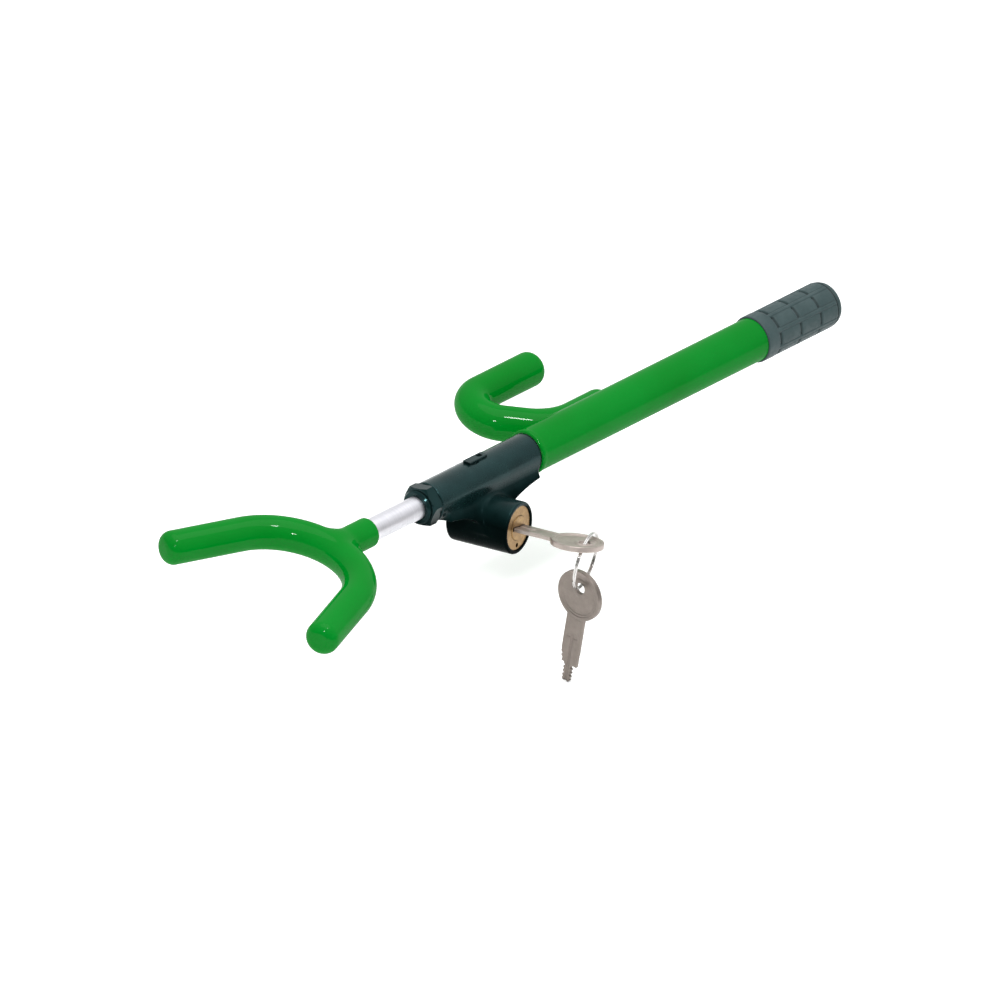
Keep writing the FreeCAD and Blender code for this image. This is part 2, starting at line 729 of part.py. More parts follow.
def make_front_fittings():
    """The hexagonal nut with its round front ring, the guide bush behind it and the wiper."""
    hexagon = doc.addObject("Part::Prism", "nut_hexagon")
    hexagon.Polygon = 6
    hexagon.setExpression("Circumradius", linked("nut_across_flats / 1.7320508"))
    hexagon.setExpression("Height", linked("nut_length"))
    hexagon.Placement = FreeCAD.Placement(
        FreeCAD.Vector(mm("nut_start"), 0, 0),
        TURN["X"] * FreeCAD.Rotation(FreeCAD.Vector(0, 0, 1), 12))
    limit = turned("nut_chamfer", [
        ("0", "0"),
        ("nut_length", "0"),
        ("nut_length", "nut_across_flats / 2 + 0.2"),
        ("nut_length - 1.2", "nut_across_flats / 2 + 1.7"),
        ("3.4", "nut_across_flats / 2 + 1.7"),
        ("2.2", "nut_ring_r + 1.0"),
        ("2.0", "nut_ring_r"),
        ("0.8", "nut_ring_r"),
        ("0", "nut_ring_r - 0.8"),
    ])
    limit.setExpression("Placement.Base.x", linked("nut_start"))
    blank = common("nut_blank", hexagon, limit)
    lip_bore = cylinder("nut_lip_bore", "shaft_r + shaft_bore_gap", "nut_length", ("nut_start", "0", "0"))
    thread = cylinder("nut_thread", "boss_r", "nut_length", ("nut_start + nut_lip", "0", "0"))
    nut = cut("front_nut", blank, lip_bore, thread)
    bush = turned("front_guide_bush", [
        ("0", "shaft_r + running_gap"),
        ("front_bush_length", "shaft_r + running_gap"),
        ("front_bush_length", "front_bush_r"),
        ("0", "front_bush_r"),
    ])
    bush.setExpression("Placement.Base.x", linked("boss_start"))
    wiper = turned("shaft_wiper", [
        ("0", "shaft_r + running_gap"),
        ("boss_start - nut_start - nut_lip", "shaft_r + running_gap"),
        ("boss_start - nut_start - nut_lip", "boss_r - 0.2"),
        ("0", "boss_r - 0.2"),
    ])
    wiper.setExpression("Placement.Base.x", linked("nut_start + nut_lip"))
    return nut, bush, wiper


def make_cover_plug():
    """The driven plug that closes the bolt's drilling on top of the barrel, with a slotted head."""
    stem = cylinder("cover_stem", "bolt_r", "barrel_r - shaft_r - 1.0",
                    ("bolt_x", "0", "shaft_r + 1.0"), "Z")
    head = box("cover_head", ("cover_plug_length", "cover_plug_width", "cover_plug_proud + 1.0"),
               ("cover_plug_start", "0 - cover_plug_width / 2", "barrel_r - 1.0"))
    barrel_room = cylinder("cover_barrel_room", "barrel_r", "0 - barrel_start", ("barrel_start", "0", "0"))
    pad = cut("cover_pad", head, barrel_room)
    slot = box("cover_slot", ("cover_slot_length", "cover_slot_width", "cover_slot_depth + 1"),
               ("cover_plug_start + cover_slot_x", "0 - cover_slot_width / 2",
                "barrel_r + cover_plug_proud - cover_slot_depth"))
    plug = cut("bolt_cover_plug", fuse("cover_blank", stem, pad), slot)
    plug.Placement = head_placement()
    return plug


# ---------------------------------------------------------------- lock cylinder, in the lock's frame


def make_cylinder():
    """The brass lock cylinder, and the grub screw that pins it in the head."""
    blank = cylinder("cylinder_blank", "cylinder_r", "lock_face - cylinder_back",
                     ("0", "0", "cylinder_back"), "Z")
    bore = cylinder("cylinder_bore", "plug_r + running_gap", "lock_face", ("0", "0", "cylinder_back"), "Z")
    wafer_room = box("cylinder_broach",
                     ("wafer_width + 0.4", "broach_height", "broach_end - cylinder_back"),
                     ("0 - wafer_width / 2 - 0.2", "0 - broach_height / 2", "cylinder_back"))
    broach = group("cylinder_broach_turned", [wafer_room])
    broach.Placement.Rotation = FreeCAD.Rotation(FreeCAD.Vector(0, 0, 1), mm("key_turn"))
    screw_start = mm("lock_face") - mm("grub_length") - mm("grub_recess")
    orbit = math.radians(mm("grub_angle"))
    place = FreeCAD.Vector(mm("grub_orbit") * math.cos(orbit), mm("grub_orbit") * math.sin(orbit),
                           screw_start)
    screw_hole = cylinder("cylinder_screw_hole", "grub_r", "grub_length + grub_recess + 1", axis="Z")
    screw_hole.Placement.Base = place
    shell = cut("lock_cylinder", blank, bore, broach, screw_hole)
    shell.Placement = lock_placement()
    screw = cylinder("cylinder_grub_screw", "grub_r", "grub_length", axis="Z")
    screw.Placement = lock_placement() * FreeCAD.Placement(place, FreeCAD.Rotation())
    return shell, screw


def make_plug():
    """The turning plug: keyway, wafer slots, clip groove and the eccentric pin that moves the bolt."""
    barrel = cylinder("plug_barrel", "plug_r", "lock_face - plug_back", ("0", "0", "plug_back"), "Z")
    nose = doc.addObject("Part::Cone", "plug_nose")
    nose.setExpression("Radius1", linked("plug_r"))
    nose.setExpression("Radius2", linked("plug_r - plug_chamfer"))
    nose.setExpression("Height", linked("plug_proud"))
    put_at(nose, ("0", "0", "lock_face"))
    blank = fuse("plug_blank", barrel, nose)
    throw = mm("bolt_lift") / math.sqrt(2)
    corner = throw * math.sqrt(0.5)
    pin = cylinder("plug_cam_pin", "cam_pin_r", "plug_back - cam_pin_end", ("0", "0", "cam_pin_end"), "Z")
    pin.Placement.Base.x = corner
    pin.Placement.Base.y = -corner
    wide = key_slot("plug_wide_keyway", "key_neck_width", "lock_face - key_bit_length - key_slack",
                    "key_bit_length + plug_proud + 1")
    narrow = key_slot("plug_narrow_keyway", "key_tip_width",
                      "lock_face - key_bit_length - key_tip_length - key_slack", "key_tip_length + 1")
    clip_ring = cylinder("plug_clip_room", "plug_r + 1", "plug_clip_width", ("0", "0", "plug_clip_z"), "Z")
    clip_core = cylinder("plug_clip_core", "plug_r - plug_clip_depth", "plug_clip_width",
                         ("0", "0", "plug_clip_z"), "Z")
    groove = cut("plug_clip_groove", clip_ring, clip_core)
    slots = [wafer_blank(f"plug_wafer_slot_{number}", number, "2 * plug_r + 1", 0.1)
             for number in wafers()]
    keyway = group("plug_keyway", [wide, narrow] + slots)
    keyway.Placement.Rotation = FreeCAD.Rotation(FreeCAD.Vector(0, 0, 1), mm("key_turn"))
    plug = cut("lock_plug", fuse("plug_solid", blank, pin), groove, keyway)
    plug.Placement = lock_placement()
    ring = cylinder("plug_clip_ring", "plug_clip_outer_r", "plug_clip_width", ("0", "0", "plug_clip_z"), "Z")
    hole = cylinder("plug_clip_hole", "plug_r - plug_clip_depth", "plug_clip_width",
                    ("0", "0", "plug_clip_z"), "Z")
    mouth = box("plug_clip_mouth", ("8", "9", "plug_clip_width"), ("0 - 4", "0 - 9", "plug_clip_z"))
    clip = cut("plug_clip", ring, hole, mouth)
    clip.Placement = lock_placement()
    return plug, clip


def wafers():
    """The numbers of the wafers, from the back of the plug."""
    return range(int(mm("wafer_count")))


def key_slot(name, width, start, length):
    """A flat slot across the plug for one width of the key."""
    slack = "2 * key_slack"
    slot = box(name, (f"{width} + {slack}", f"key_thickness + {slack}", length),
               (f"0 - {width} / 2 - key_slack", "0 - key_thickness / 2 - key_slack", start))
    return slot


def wafer_blank(name, number, height, slack):
    """A wafer's plate, or with slack round it the slot that it slides in."""
    return box(name, (f"wafer_width + {2 * slack}", height, f"wafer_thickness + {2 * slack}"),
               (f"0 - wafer_width / 2 - {slack}", f"0 - ( {height} ) / 2",
                f"wafer_first + wafer_pitch * {number} - {slack}"))


def make_wafers():
    """The flat wafers, each with a window that the key's tip passes through."""
    plates = []
    for number in wafers():
        plate = wafer_blank(f"wafer_plate_{number}", number, "wafer_height", 0)
        window = box(f"wafer_window_{number}",
                     ("key_tip_width + 2 * key_slack", "wafer_window_height", "wafer_thickness"),
                     ("0 - key_tip_width / 2 - key_slack", "0 - wafer_window_height / 2",
                      f"wafer_first + wafer_pitch * {number}"))
        plates.append(cut(f"wafer_{number}", plate, window))
    stack = group("plug_wafers", plates)
    stack.Placement = key_placement()
    return stack


def make_bolt():
    """The round locking bolt and its foot, slotted across for the plug's eccentric pin."""
    stem = cylinder("bolt_stem", "bolt_r", "lock_drop - shaft_r - bolt_tip_gap - bolt_foot_top + 1",
                    ("0", "bolt_foot_top - 1", "0"), "Y")
    stem.Placement.Rotation = FreeCAD.Rotation(FreeCAD.Vector(1, 0, 0), -90)
    foot = box("bolt_foot", ("bolt_foot_width", "bolt_foot_top - bolt_foot_bottom", "bolt_foot_depth"),
               ("0 - bolt_foot_side", "bolt_foot_bottom", "0 - bolt_foot_depth / 2"))
    pin_y = "bolt_lift / 2"
    pin_far = "bolt_lift * 0.7072"
    slot = box("bolt_slot",
               (f"{pin_far} - {pin_y} + 2 * cam_pin_r + 2 * cam_slot_gap", "2 * cam_pin_r + 2 * cam_slot_gap",
                "bolt_foot_depth + 2"),
               (f"{pin_y} - cam_pin_r - cam_slot_gap", f"0 - {pin_y} - cam_pin_r - cam_slot_gap",
                "0 - bolt_foot_depth / 2 - 1"))
    bolt = cut("locking_bolt", fuse("bolt_solid", stem, foot), slot)
    bolt.Placement = lock_placement()
    return bolt


# ---------------------------------------------------------------- keys and ring


def key_shape(name):
    """A key on its own: its shoulder at Z = 0, its bow above and its blade below."""
    half = mm("key_thickness") / 2
    bow_z = mm("key_neck_length") + mm("key_bow_r")
    neck = flat_plate([
        (-mm("key_neck_width") / 2, 0),
        (mm("key_neck_width") / 2, 0),
        (mm("key_neck_width") / 2, mm("key_neck_length") + 2.0),
        (-mm("key_neck_width") / 2, mm("key_neck_length") + 2.0),
    ], half)
    blade = flat_plate(blade_outline(), half)
    bow_half = mm("key_bow_thickness") / 2
    rim_half = bow_half + mm("key_rim_height")
    bow_r = mm("key_bow_r")
    bow = disc(bow_r, bow_half, bow_z)
    rim = disc(bow_r, rim_half, bow_z).cut(disc(bow_r - mm("key_rim_width"), rim_half, bow_z))
    hole_z = bow_z + mm("key_hole_offset")
    boss = disc(mm("key_hole_r") + mm("key_boss_width"), bow_half + mm("key_boss_height"), hole_z)
    solid = bow.multiFuse([rim, boss, neck, blade])
    solid = solid.cut(disc(mm("key_hole_r"), rim_half, hole_z))
    for side in (-1, 1):
        below = mm("key_bit_length") + mm("key_tip_length")
        width = mm("key_groove_width")
        depth = mm("key_groove_depth")
        groove = Part.makeBox(width, depth, below + mm("key_neck_length") / 2)
        low = half - depth if side > 0 else -half
        groove.translate(FreeCAD.Vector(-width / 2, low, -below))
        solid = solid.cut(groove)
    key = doc.addObject("Part::Feature", name)
    key.Shape = solid.removeSplitter()
    return key


def disc(radius, half, height):
    """A round plate lying in the key's plane."""
    return Part.makeCylinder(radius, 2 * half, FreeCAD.Vector(0, -half, height), FreeCAD.Vector(0, 1, 0))


def flat_plate(outline, half):
    """A plate in the key's plane from its outline."""
    points = [FreeCAD.Vector(x, -half, z) for x, z in outline]
    face = Part.Face(Part.makePolygon(points + points[:1]))
    return face.extrude(FreeCAD.Vector(0, 2 * half, 0))


def blade_outline():
    """The stepped blade with its cuts on both edges, from the shoulder to the tip."""
    wide = mm("key_bit_width") / 2
    slim = mm("key_tip_width") / 2
    bit_end = -mm("key_bit_length")
    tip_end = bit_end - mm("key_tip_length")
    right = [(wide, 0), (wide, bit_end * 0.25), (wide - 1.0, bit_end * 0.4), (wide - 0.3, bit_end * 0.55),
             (wide - 1.4, bit_end * 0.75), (wide - 1.0, bit_end), (slim, bit_end)]
    cuts = 4
    for number in range(cuts):
        top = bit_end - mm("key_tip_length") * (number + 0.35) / (cuts + 0.6)
        depth = 0.55 if number % 2 else 0.85
        right += [(slim, top), (slim - depth, top - 0.7), (slim - depth, top - 1.3), (slim, top - 1.9)]
    right.append((slim - 1.0, tip_end))
    left = [(-x, z) for x, z in reversed(right) if z < bit_end]
    left += [(-slim, bit_end), (-wide, bit_end), (-wide, 0)]
    return right + left


def shoulder_z():
    """How far the seated key's shoulder stands from the lock's origin, along the lock."""
    return mm("lock_face") + mm("plug_proud") + mm("key_slack")


def ring_points():
    """The middle of the ring's chord through the key's bow, its centre and its heading."""
    hole_z = shoulder_z() + mm("key_neck_length") + mm("key_bow_r") + mm("key_hole_offset")
    hole = lock_placement().multVec(FreeCAD.Vector(0, 0, hole_z))
    heading = math.radians(mm("ring_heading"))
    flat = key_placement().Rotation.multVec(FreeCAD.Vector(0, 1, 0))
    level = FreeCAD.Vector(math.cos(heading), math.sin(heading), 0)
    along = level - FreeCAD.Vector(0, 0, level.dot(flat) / flat.z)
    along.normalize()
    side = FreeCAD.Vector(0, 0, 1).cross(level)
    down = along.cross(side)
    middle = hole + along * mm("ring_half_chord")
    drop = math.sqrt(mm("ring_r") ** 2 - mm("ring_half_chord") ** 2)
    centre = middle + down * drop * (-1 if down.z > 0 else 1)
    return middle, centre, along


def make_keys():
    """The key in the lock, the split ring through its bow, and the spare key on the ring."""
    key = key_shape("inserted_key")
    shoulder = FreeCAD.Placement(FreeCAD.Vector(0, 0, shoulder_z()), FreeCAD.Rotation())
    key.Placement = key_placement() * shoulder
    middle, centre, along = ring_points()
    across = FreeCAD.Vector(0, 0, 1).cross(along)
    across.normalize()
    upright_ring = FreeCAD.Rotation(FreeCAD.Vector(0, 0, 1), across)
    coils = []
    for number, side in ((1, -1), (2, 1)):
        coil = doc.addObject("Part::Torus", f"ring_coil_{number}")
        coil.setExpression("Radius1", linked("ring_r"))
        coil.setExpression("Radius2", linked("ring_wire_r"))
        coil.Placement = FreeCAD.Placement(centre + across * side * mm("ring_coil_offset"), upright_ring)
        coils.append(coil)
    ring = fuse("key_ring", *coils)
    spare = key_shape("spare_key")
    heading = FreeCAD.Rotation(FreeCAD.Vector(0, 0, 1), mm("spare_heading"))
    hole_z = mm("key_neck_length") + mm("key_bow_r") + mm("key_hole_offset")
    hole_place = centre - FreeCAD.Vector(0, 0, mm("ring_r") + mm("spare_hang"))
    upright = FreeCAD.Placement(hole_place, heading)
    spare.Placement = upright * FreeCAD.Placement(FreeCAD.Vector(0, 0, -hole_z), FreeCAD.Rotation())
    return key, ring, spare


# ---------------------------------------------------------------- the whole lock


def check(item):
    """Stop on an object that failed or whose shape is empty or broken."""
    if "Invalid" in item.State or "Error" in item.State:
        raise RuntimeError(f"{item.Name} failed: {item.State}")
    if hasattr(item, "Shape") and item.TypeId.startswith("Part") and item.Shape.isNull():
        raise RuntimeError(f"{item.Name} is empty")


def export(parts):
    """Write each sub-part to its own file, named by its label."""
    os.makedirs("parts", exist_ok=True)
    for part in parts:
        if not part.Shape.isValid():
            raise RuntimeError(f"{part.Label} isn't valid")
        if not part.Shape.Solids:
            raise RuntimeError(f"{part.Label} has no solid")
        part.Shape.exportStep(f"parts/{part.Label}.step")
        print(part.Label, len(part.Shape.Solids), "solids")


def main():
    """Build every sub-part, check the document and write the files."""
    fill_sheet()
    hook_rod, hook_weld, hook_coating = make_hook()
    parts = [hook_rod, hook_weld, hook_coating]
    parts += make_tube(hook_rod, hook_weld)
    parts += make_grip()
    shaft, guide_bush, clip = make_shaft()
    parts += [shaft, guide_bush, clip]
    parts += make_fork(shaft)
    parts.append(make_housing())
    parts += make_front_fittings()
    parts.append(make_cover_plug())
    parts += make_cylinder()
    parts += make_plug()
    parts.append(make_wafers())
    parts.append(make_bolt())
    parts += make_keys()
    doc.recompute()
    for item in doc.Objects:
        check(item)
    export(parts)


main()
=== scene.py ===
import json
import math

import bpy
import numpy as np
from mathutils import Matrix, Vector


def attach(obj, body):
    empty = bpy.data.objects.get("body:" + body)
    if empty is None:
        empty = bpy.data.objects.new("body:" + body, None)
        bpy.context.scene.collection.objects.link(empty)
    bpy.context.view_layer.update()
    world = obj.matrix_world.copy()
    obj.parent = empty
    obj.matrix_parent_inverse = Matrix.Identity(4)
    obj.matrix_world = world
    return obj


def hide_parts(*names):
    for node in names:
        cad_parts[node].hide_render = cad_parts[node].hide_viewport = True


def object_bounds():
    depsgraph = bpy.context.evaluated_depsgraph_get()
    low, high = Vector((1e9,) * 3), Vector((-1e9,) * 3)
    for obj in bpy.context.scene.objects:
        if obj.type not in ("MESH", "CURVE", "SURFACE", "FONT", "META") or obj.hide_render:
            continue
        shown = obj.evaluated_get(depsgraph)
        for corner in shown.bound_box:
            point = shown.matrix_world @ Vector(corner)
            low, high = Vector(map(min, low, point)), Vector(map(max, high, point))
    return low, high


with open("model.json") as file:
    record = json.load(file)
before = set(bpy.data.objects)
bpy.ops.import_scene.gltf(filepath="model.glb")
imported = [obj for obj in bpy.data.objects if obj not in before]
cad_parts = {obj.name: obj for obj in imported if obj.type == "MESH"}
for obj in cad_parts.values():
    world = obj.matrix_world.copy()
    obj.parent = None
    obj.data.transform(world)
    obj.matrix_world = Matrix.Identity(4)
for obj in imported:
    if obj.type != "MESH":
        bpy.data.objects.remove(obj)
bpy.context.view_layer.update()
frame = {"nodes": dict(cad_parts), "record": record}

# The looks of a steering wheel lock. Shapes are worked out in millimetres, in the CAD frame, and
# turned into metres when a piece is made. Main sizes repeat those of the CAD source.

MM = 0.001
X_AXIS = np.array([1.0, 0.0, 0.0])
Y_AXIS = np.array([0.0, 1.0, 0.0])
Z_AXIS = np.array([0.0, 0.0, 1.0])

TUBE_COAT_R, TUBE_COAT_END = 12.0, 184.0
LIP_X, LIP_HEIGHT, LIP_SPREAD = 1.6, 0.4, 1.5
HOOK_R, HOOK_LEG_Y, HOOK_Z, HOOK_LEG_END = 9.6, 16.5, -10.6, 85.2
HOOK_BEND_X, HOOK_BEND_R, HOOK_BEND_ANGLE = 58.5, 34.0, 48.0
HOOK_RETURN_R, HOOK_RETURN_Y, HOOK_TIP_X = 16.0, 63.4, 82.2
TIP_ROUND, HOOK_FILLET = 6.0, 4.5
FORK_R, FORK_X, FORK_BEND_R, FORK_SPREAD, FORK_TIP_X = 9.2, -155.2, 42.0, 18.7, -227.2
FORK_TIP_RUN, FORK_FILLET = 1.2, 6.0
COLLAR_R, COLLAR_END, COLLAR_ROUND, COLLAR_OVERLAP = 8.15, -126.5, 1.3, 8.0
GRIP_START, GRIP_LENGTH, GRIP_R, GRIP_INNER_R = 182.5, 57.5, 13.0, 11.0
BARREL_START, BARREL_R, BOSS_START, BOSS_R = -79.5, 11.0, -85.5, 8.9
BOLT_X, LOCK_DROP, HEAD_ROLL, LOCK_YAW, KEY_TURN = -43.4, 21.2, 10.5, 10.3, -12.0
LOCK_FACE, LOCK_RIM, LOCK_BODY_R, LOCK_BODY_BACK = 28.0, 0.6, 14.3, -8.0
KEY_NECK_WIDTH, KEY_NECK_LENGTH, KEY_BOW_R = 11.6, 21.2, 14.2
KEY_HALF, KEY_BOW_HALF, KEY_HOLE_R, KEY_HOLE_OFFSET = 1.0, 1.1, 3.1, 4.4
KEY_BIT_WIDTH, KEY_BIT_LENGTH, KEY_TIP_WIDTH, KEY_TIP_LENGTH = 11.2, 7.4, 5.4, 10.6
PLUG_PROUD, KEY_GAP = 0.5, 0.12
KEY_SHOULDER = LOCK_FACE + PLUG_PROUD + KEY_GAP
RING_R, RING_WIRE_R, RING_COIL_OFFSET = 15.4, 0.5, 0.45
RING_HEADING, RING_HALF_CHORD = 19.2, 10.2
WIRE_START, WIRE_SIDES = 200, 14
SPARE_HEADING, SPARE_HANG = 90.0, 1.7

# Grid cells of the skins.
VINYL_CELL, CASTING_CELL, KEY_CELL = 0.75, 0.55, 0.27


# ---------------------------------------------------------------- frames of the lock head


def turn(axis, degrees):
    """A rotation matrix about one of the frame's axes."""
    return np.array(Matrix.Rotation(math.radians(degrees), 3, axis))


HEAD = turn("X", -HEAD_ROLL)
LOCK = HEAD @ turn("Z", LOCK_YAW) @ turn("X", 90)
LOCK_ORIGIN = HEAD @ np.array([BOLT_X, 0, -LOCK_DROP])
KEY = LOCK @ turn("Z", KEY_TURN)


# ---------------------------------------------------------------- distance fields, in millimetres


def length_of(vectors):
    return np.sqrt((vectors ** 2).sum(axis=1))


def joined(a, b, fillet):
    """The union of two fields with a fillet in the corner between them."""
    share = np.clip(0.5 + 0.5 * (b - a) / fillet, 0, 1)
    return b * (1 - share) + a * share - fillet * share * (1 - share)


def without(a, b, edge):
    """Field a with field b taken out, and the edge between them eased."""
    return -joined(-a, b, edge)


def both(a, b, edge):
    """What two fields share, with the edge between them eased."""
    return -joined(-a, -b, edge)


def run_field(points, start, end, radius):
    """A round rod with ball ends between two points."""
    along = end - start
    share = np.clip(((points - start) @ along) / (along @ along), 0, 1)
    return length_of(points - start - share[:, None] * along) - radius


def arc_field(points, centre, bend_r, first, last, radius):
    """A round rod along an arc in a level plane, between two angles in degrees."""
    offset = points - centre
    middle = (first + last) / 2
    angle = np.degrees(np.arctan2(offset[:, 1], offset[:, 0]))
    angle = (angle - middle + 180) % 360 - 180
    angle = np.radians(np.clip(angle, first - middle, last - middle) + middle)
    nearest = bend_r * np.stack([np.cos(angle), np.sin(angle), np.zeros(len(angle))], axis=1)
    return length_of(offset - nearest) - radius


def end_field(points, tip, inward, run, radius, rounding):
    """The last run of a rod, with a flat tip whose edge is rounded."""
    offset = points - tip
    depth = offset @ inward
    side = length_of(offset - depth[:, None] * inward)
    past_side, past_end = side - radius + rounding, rounding - depth
    outside = np.hypot(np.maximum(past_side, 0), np.maximum(past_end, 0))
    capped = outside + np.minimum(np.maximum(past_side, past_end), 0) - rounding
    inner = np.hypot(side, np.maximum(depth - run, 0)) - radius
    return np.where(depth > run, inner, capped)


def drum_field(points, origin, axis, start, end, radius, rounding=0.3):
    """A cylinder along an axis between two distances from the origin, with eased edges."""
    offset = points - origin
    depth = offset @ axis
    side = length_of(offset - depth[:, None] * axis)
    past_side = side - radius + rounding
    past_end = np.abs(depth - (start + end) / 2) - (end - start) / 2 + rounding
    outside = np.hypot(np.maximum(past_side, 0), np.maximum(past_end, 0))
    return outside + np.minimum(np.maximum(past_side, past_end), 0) - rounding


def outline_field(flat, outline):
    """Signed distance to a closed outline in a plane, negative inside."""
    distance = np.full(len(flat), 1e9)
    inside = np.zeros(len(flat), bool)
    for start, end in zip(outline, np.roll(outline, -1, axis=0)):
        edge = end - start
        offset = flat - start
        share = np.clip(offset @ edge / (edge @ edge), 0, 1)
        distance = np.minimum(distance, np.hypot(*(offset - share[:, None] * edge).T))
        crosses = (start[1] > flat[:, 1]) != (end[1] > flat[:, 1])
        level = (flat[:, 1] - start[1]) / (edge[1] if edge[1] else 1e-9)
        inside ^= crosses & (flat[:, 0] < start[0] + level * edge[0])
    return np.where(inside, -distance, distance)


# ---------------------------------------------------------------- from fields to pieces


def new_piece(name, points, faces, smooth=True):
    """An object from points in millimetres."""
    mesh = bpy.data.meshes.new(name)
    mesh.from_pydata((np.asarray(points) * MM).tolist(), [], [list(face) for face in faces])
    mesh.update()
    mesh.polygons.foreach_set("use_smooth", [smooth] * len(mesh.polygons))
    piece = bpy.data.objects.new(name, mesh)
    bpy.context.scene.collection.objects.link(piece)
    return piece


def applied(piece):
    """The piece with its modifiers made part of its mesh."""
    bpy.context.view_layer.update()
    graph = bpy.context.evaluated_depsgraph_get()
    mesh = bpy.data.meshes.new_from_object(piece.evaluated_get(graph))
    piece.modifiers.clear()
    piece.data = mesh
    return piece


def netted(name, field, low, high, cell, place=None, origin=None):
    """A skin over a field's zero level: one point to each cell of a grid that it crosses."""
    axes = [np.arange(start, end + cell, cell) for start, end in zip(low, high)]
    grid = np.stack(np.meshgrid(*axes, indexing="ij"), axis=-1)
    place = np.eye(3) if place is None else place
    origin = np.zeros(3) if origin is None else origin
    grid = grid @ place.T + origin
    inside = (field(grid.reshape(-1, 3)) < 0).reshape(grid.shape[:3])
    corners = [inside[i:i - 1 or None, j:j - 1 or None, k:k - 1 or None]
               for i in (0, 1) for j in (0, 1) for k in (0, 1)]
    held = np.sum(corners, axis=0)
    crossed = (held > 0) & (held < 8)
    number = np.full(crossed.shape, -1)
    number[crossed] = np.arange(crossed.sum())
    points = grid[:-1, :-1, :-1][crossed] + place @ np.full(3, cell / 2)
    faces = []
    for first in range(3):
        order = (first, (first + 1) % 3, (first + 2) % 3)
        solid, cells = inside.transpose(order), number.transpose(order)
        here, there = solid[:-1, 1:-1, 1:-1], solid[1:, 1:-1, 1:-1]
        quads = np.stack([cells[:, :-1, :-1], cells[:, 1:, :-1], cells[:, 1:, 1:], cells[:, :-1, 1:]],
                         axis=-1)
        faces.append(quads[here & ~there])
        faces.append(quads[~here & there][:, ::-1])
    skin = new_piece(name, points, np.concatenate(faces).tolist())
    smooth = skin.modifiers.new("relax", "SMOOTH")
    smooth.factor = 0.5
    smooth.iterations = 3
    applied(skin)
    return settled(skin, field, 4, cell)


def mesh_points(piece):
    flat = np.zeros(len(piece.data.vertices) * 3)
    piece.data.vertices.foreach_get("co", flat)
    return flat.reshape(-1, 3) / MM


def settled(piece, field, passes, reach):
    """Moves every point of the piece onto the field's surface, by no more than reach in each pass."""
    points = mesh_points(piece)
    step, least_slope = 0.02, 0.3
    for _ in range(passes):
        value = field(points)
        slope = np.stack([(field(points + step * axis) - field(points - step * axis)) / (2 * step)
                          for axis in (X_AXIS, Y_AXIS, Z_AXIS)], axis=1)
        steep = np.maximum((slope ** 2).sum(axis=1), least_slope)
        move = (value / steep)[:, None] * slope
        size = np.maximum(length_of(move), 1e-9)
        points = points - move * np.minimum(1, reach / size)[:, None]
    piece.data.vertices.foreach_set("co", (points * MM).ravel())
    piece.data.update()
    return piece


def dress(piece, material, body, slot, *nodes):
    """Gives a piece its material and its body, and hides the CAD nodes that it stands for."""
    piece.data.materials.clear()
    piece.data.materials.append(material)
    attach(piece, body)
    if nodes:
        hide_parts(*nodes)
    return piece


# ---------------------------------------------------------------- material nodes


class Look:
    """A procedural material, built node by node."""

    def __init__(self, name, **values):
        self.material = bpy.data.materials.new(name)
        self.material.use_nodes = True
        self.tree = self.material.node_tree
        self.shader = self.tree.nodes["Principled BSDF"]
        for socket, value in values.items():
            self.shader.inputs[socket.replace("_", " ")].default_value = value
        self.place = self.tree.nodes.new("ShaderNodeTexCoord").outputs["Object"]

    def node(self, kind, inputs, output=0, **settings):
        made = self.tree.nodes.new("ShaderNode" + kind)
        for key, value in settings.items():
            setattr(made, key, value)
        for key, value in inputs.items():
            if isinstance(value, bpy.types.NodeSocket):
                self.tree.links.new(value, made.inputs[key])
            else:
                made.inputs[key].default_value = value
        return made.outputs[output]

    def set(self, socket, value):
        self.tree.links.new(value, self.shader.inputs[socket])

    def stretched(self, scale, location=(0, 0, 0), rotation=(0, 0, 0), kind="POINT"):
        return self.node("Mapping", {"Vector": self.place, "Scale": scale, "Location": location,
                                     "Rotation": rotation}, vector_type=kind)

    def noise(self, scale, detail=3.0, rough=0.5, place=None):
        return self.node("TexNoise", {"Vector": place or self.place, "Scale": scale,
                                      "Detail": detail, "Roughness": rough})

    def ramp(self, value, low, high, to_low=0.0, to_high=1.0):
        return self.node("MapRange", {"Value": value, "From Min": low, "From Max": high,
                                      "To Min": to_low, "To Max": to_high})

    def math(self, kind, a, b=0.0):
        return self.node("Math", {0: a, 1: b}, operation=kind)

    def mix(self, share, a, b):
        made = self.tree.nodes.new("ShaderNodeMix")
        made.data_type = "RGBA"
        for index, value in ((0, share), (6, a), (7, b)):
            if isinstance(value, bpy.types.NodeSocket):
                self.tree.links.new(value, made.inputs[index])
            else:
                made.inputs[index].default_value = value if index == 0 else (*value, 1.0)
        return made.outputs[2]

    def painted_corner_shade(self, base, reach, dark):
        """The base colour with painted shade in corners and grooves, out to a reach in millimetres."""
        corner = self.node("AmbientOcclusion", {"Distance": reach * MM}, 1)
        return self.mix(self.ramp(corner, 0.45, 0.95, 0.9, 0.0), base, dark)

    def bump(self, *layers):
        """Layers of (height, distance in millimetres), stacked on each other."""
        normal = None
        for height, depth in layers:
            inputs = {"Height": height, "Distance": depth * MM, "Strength": 1.0}
            if normal is not None:
                inputs["Normal"] = normal
            normal = self.node("Bump", inputs)
        self.set("Normal", normal)


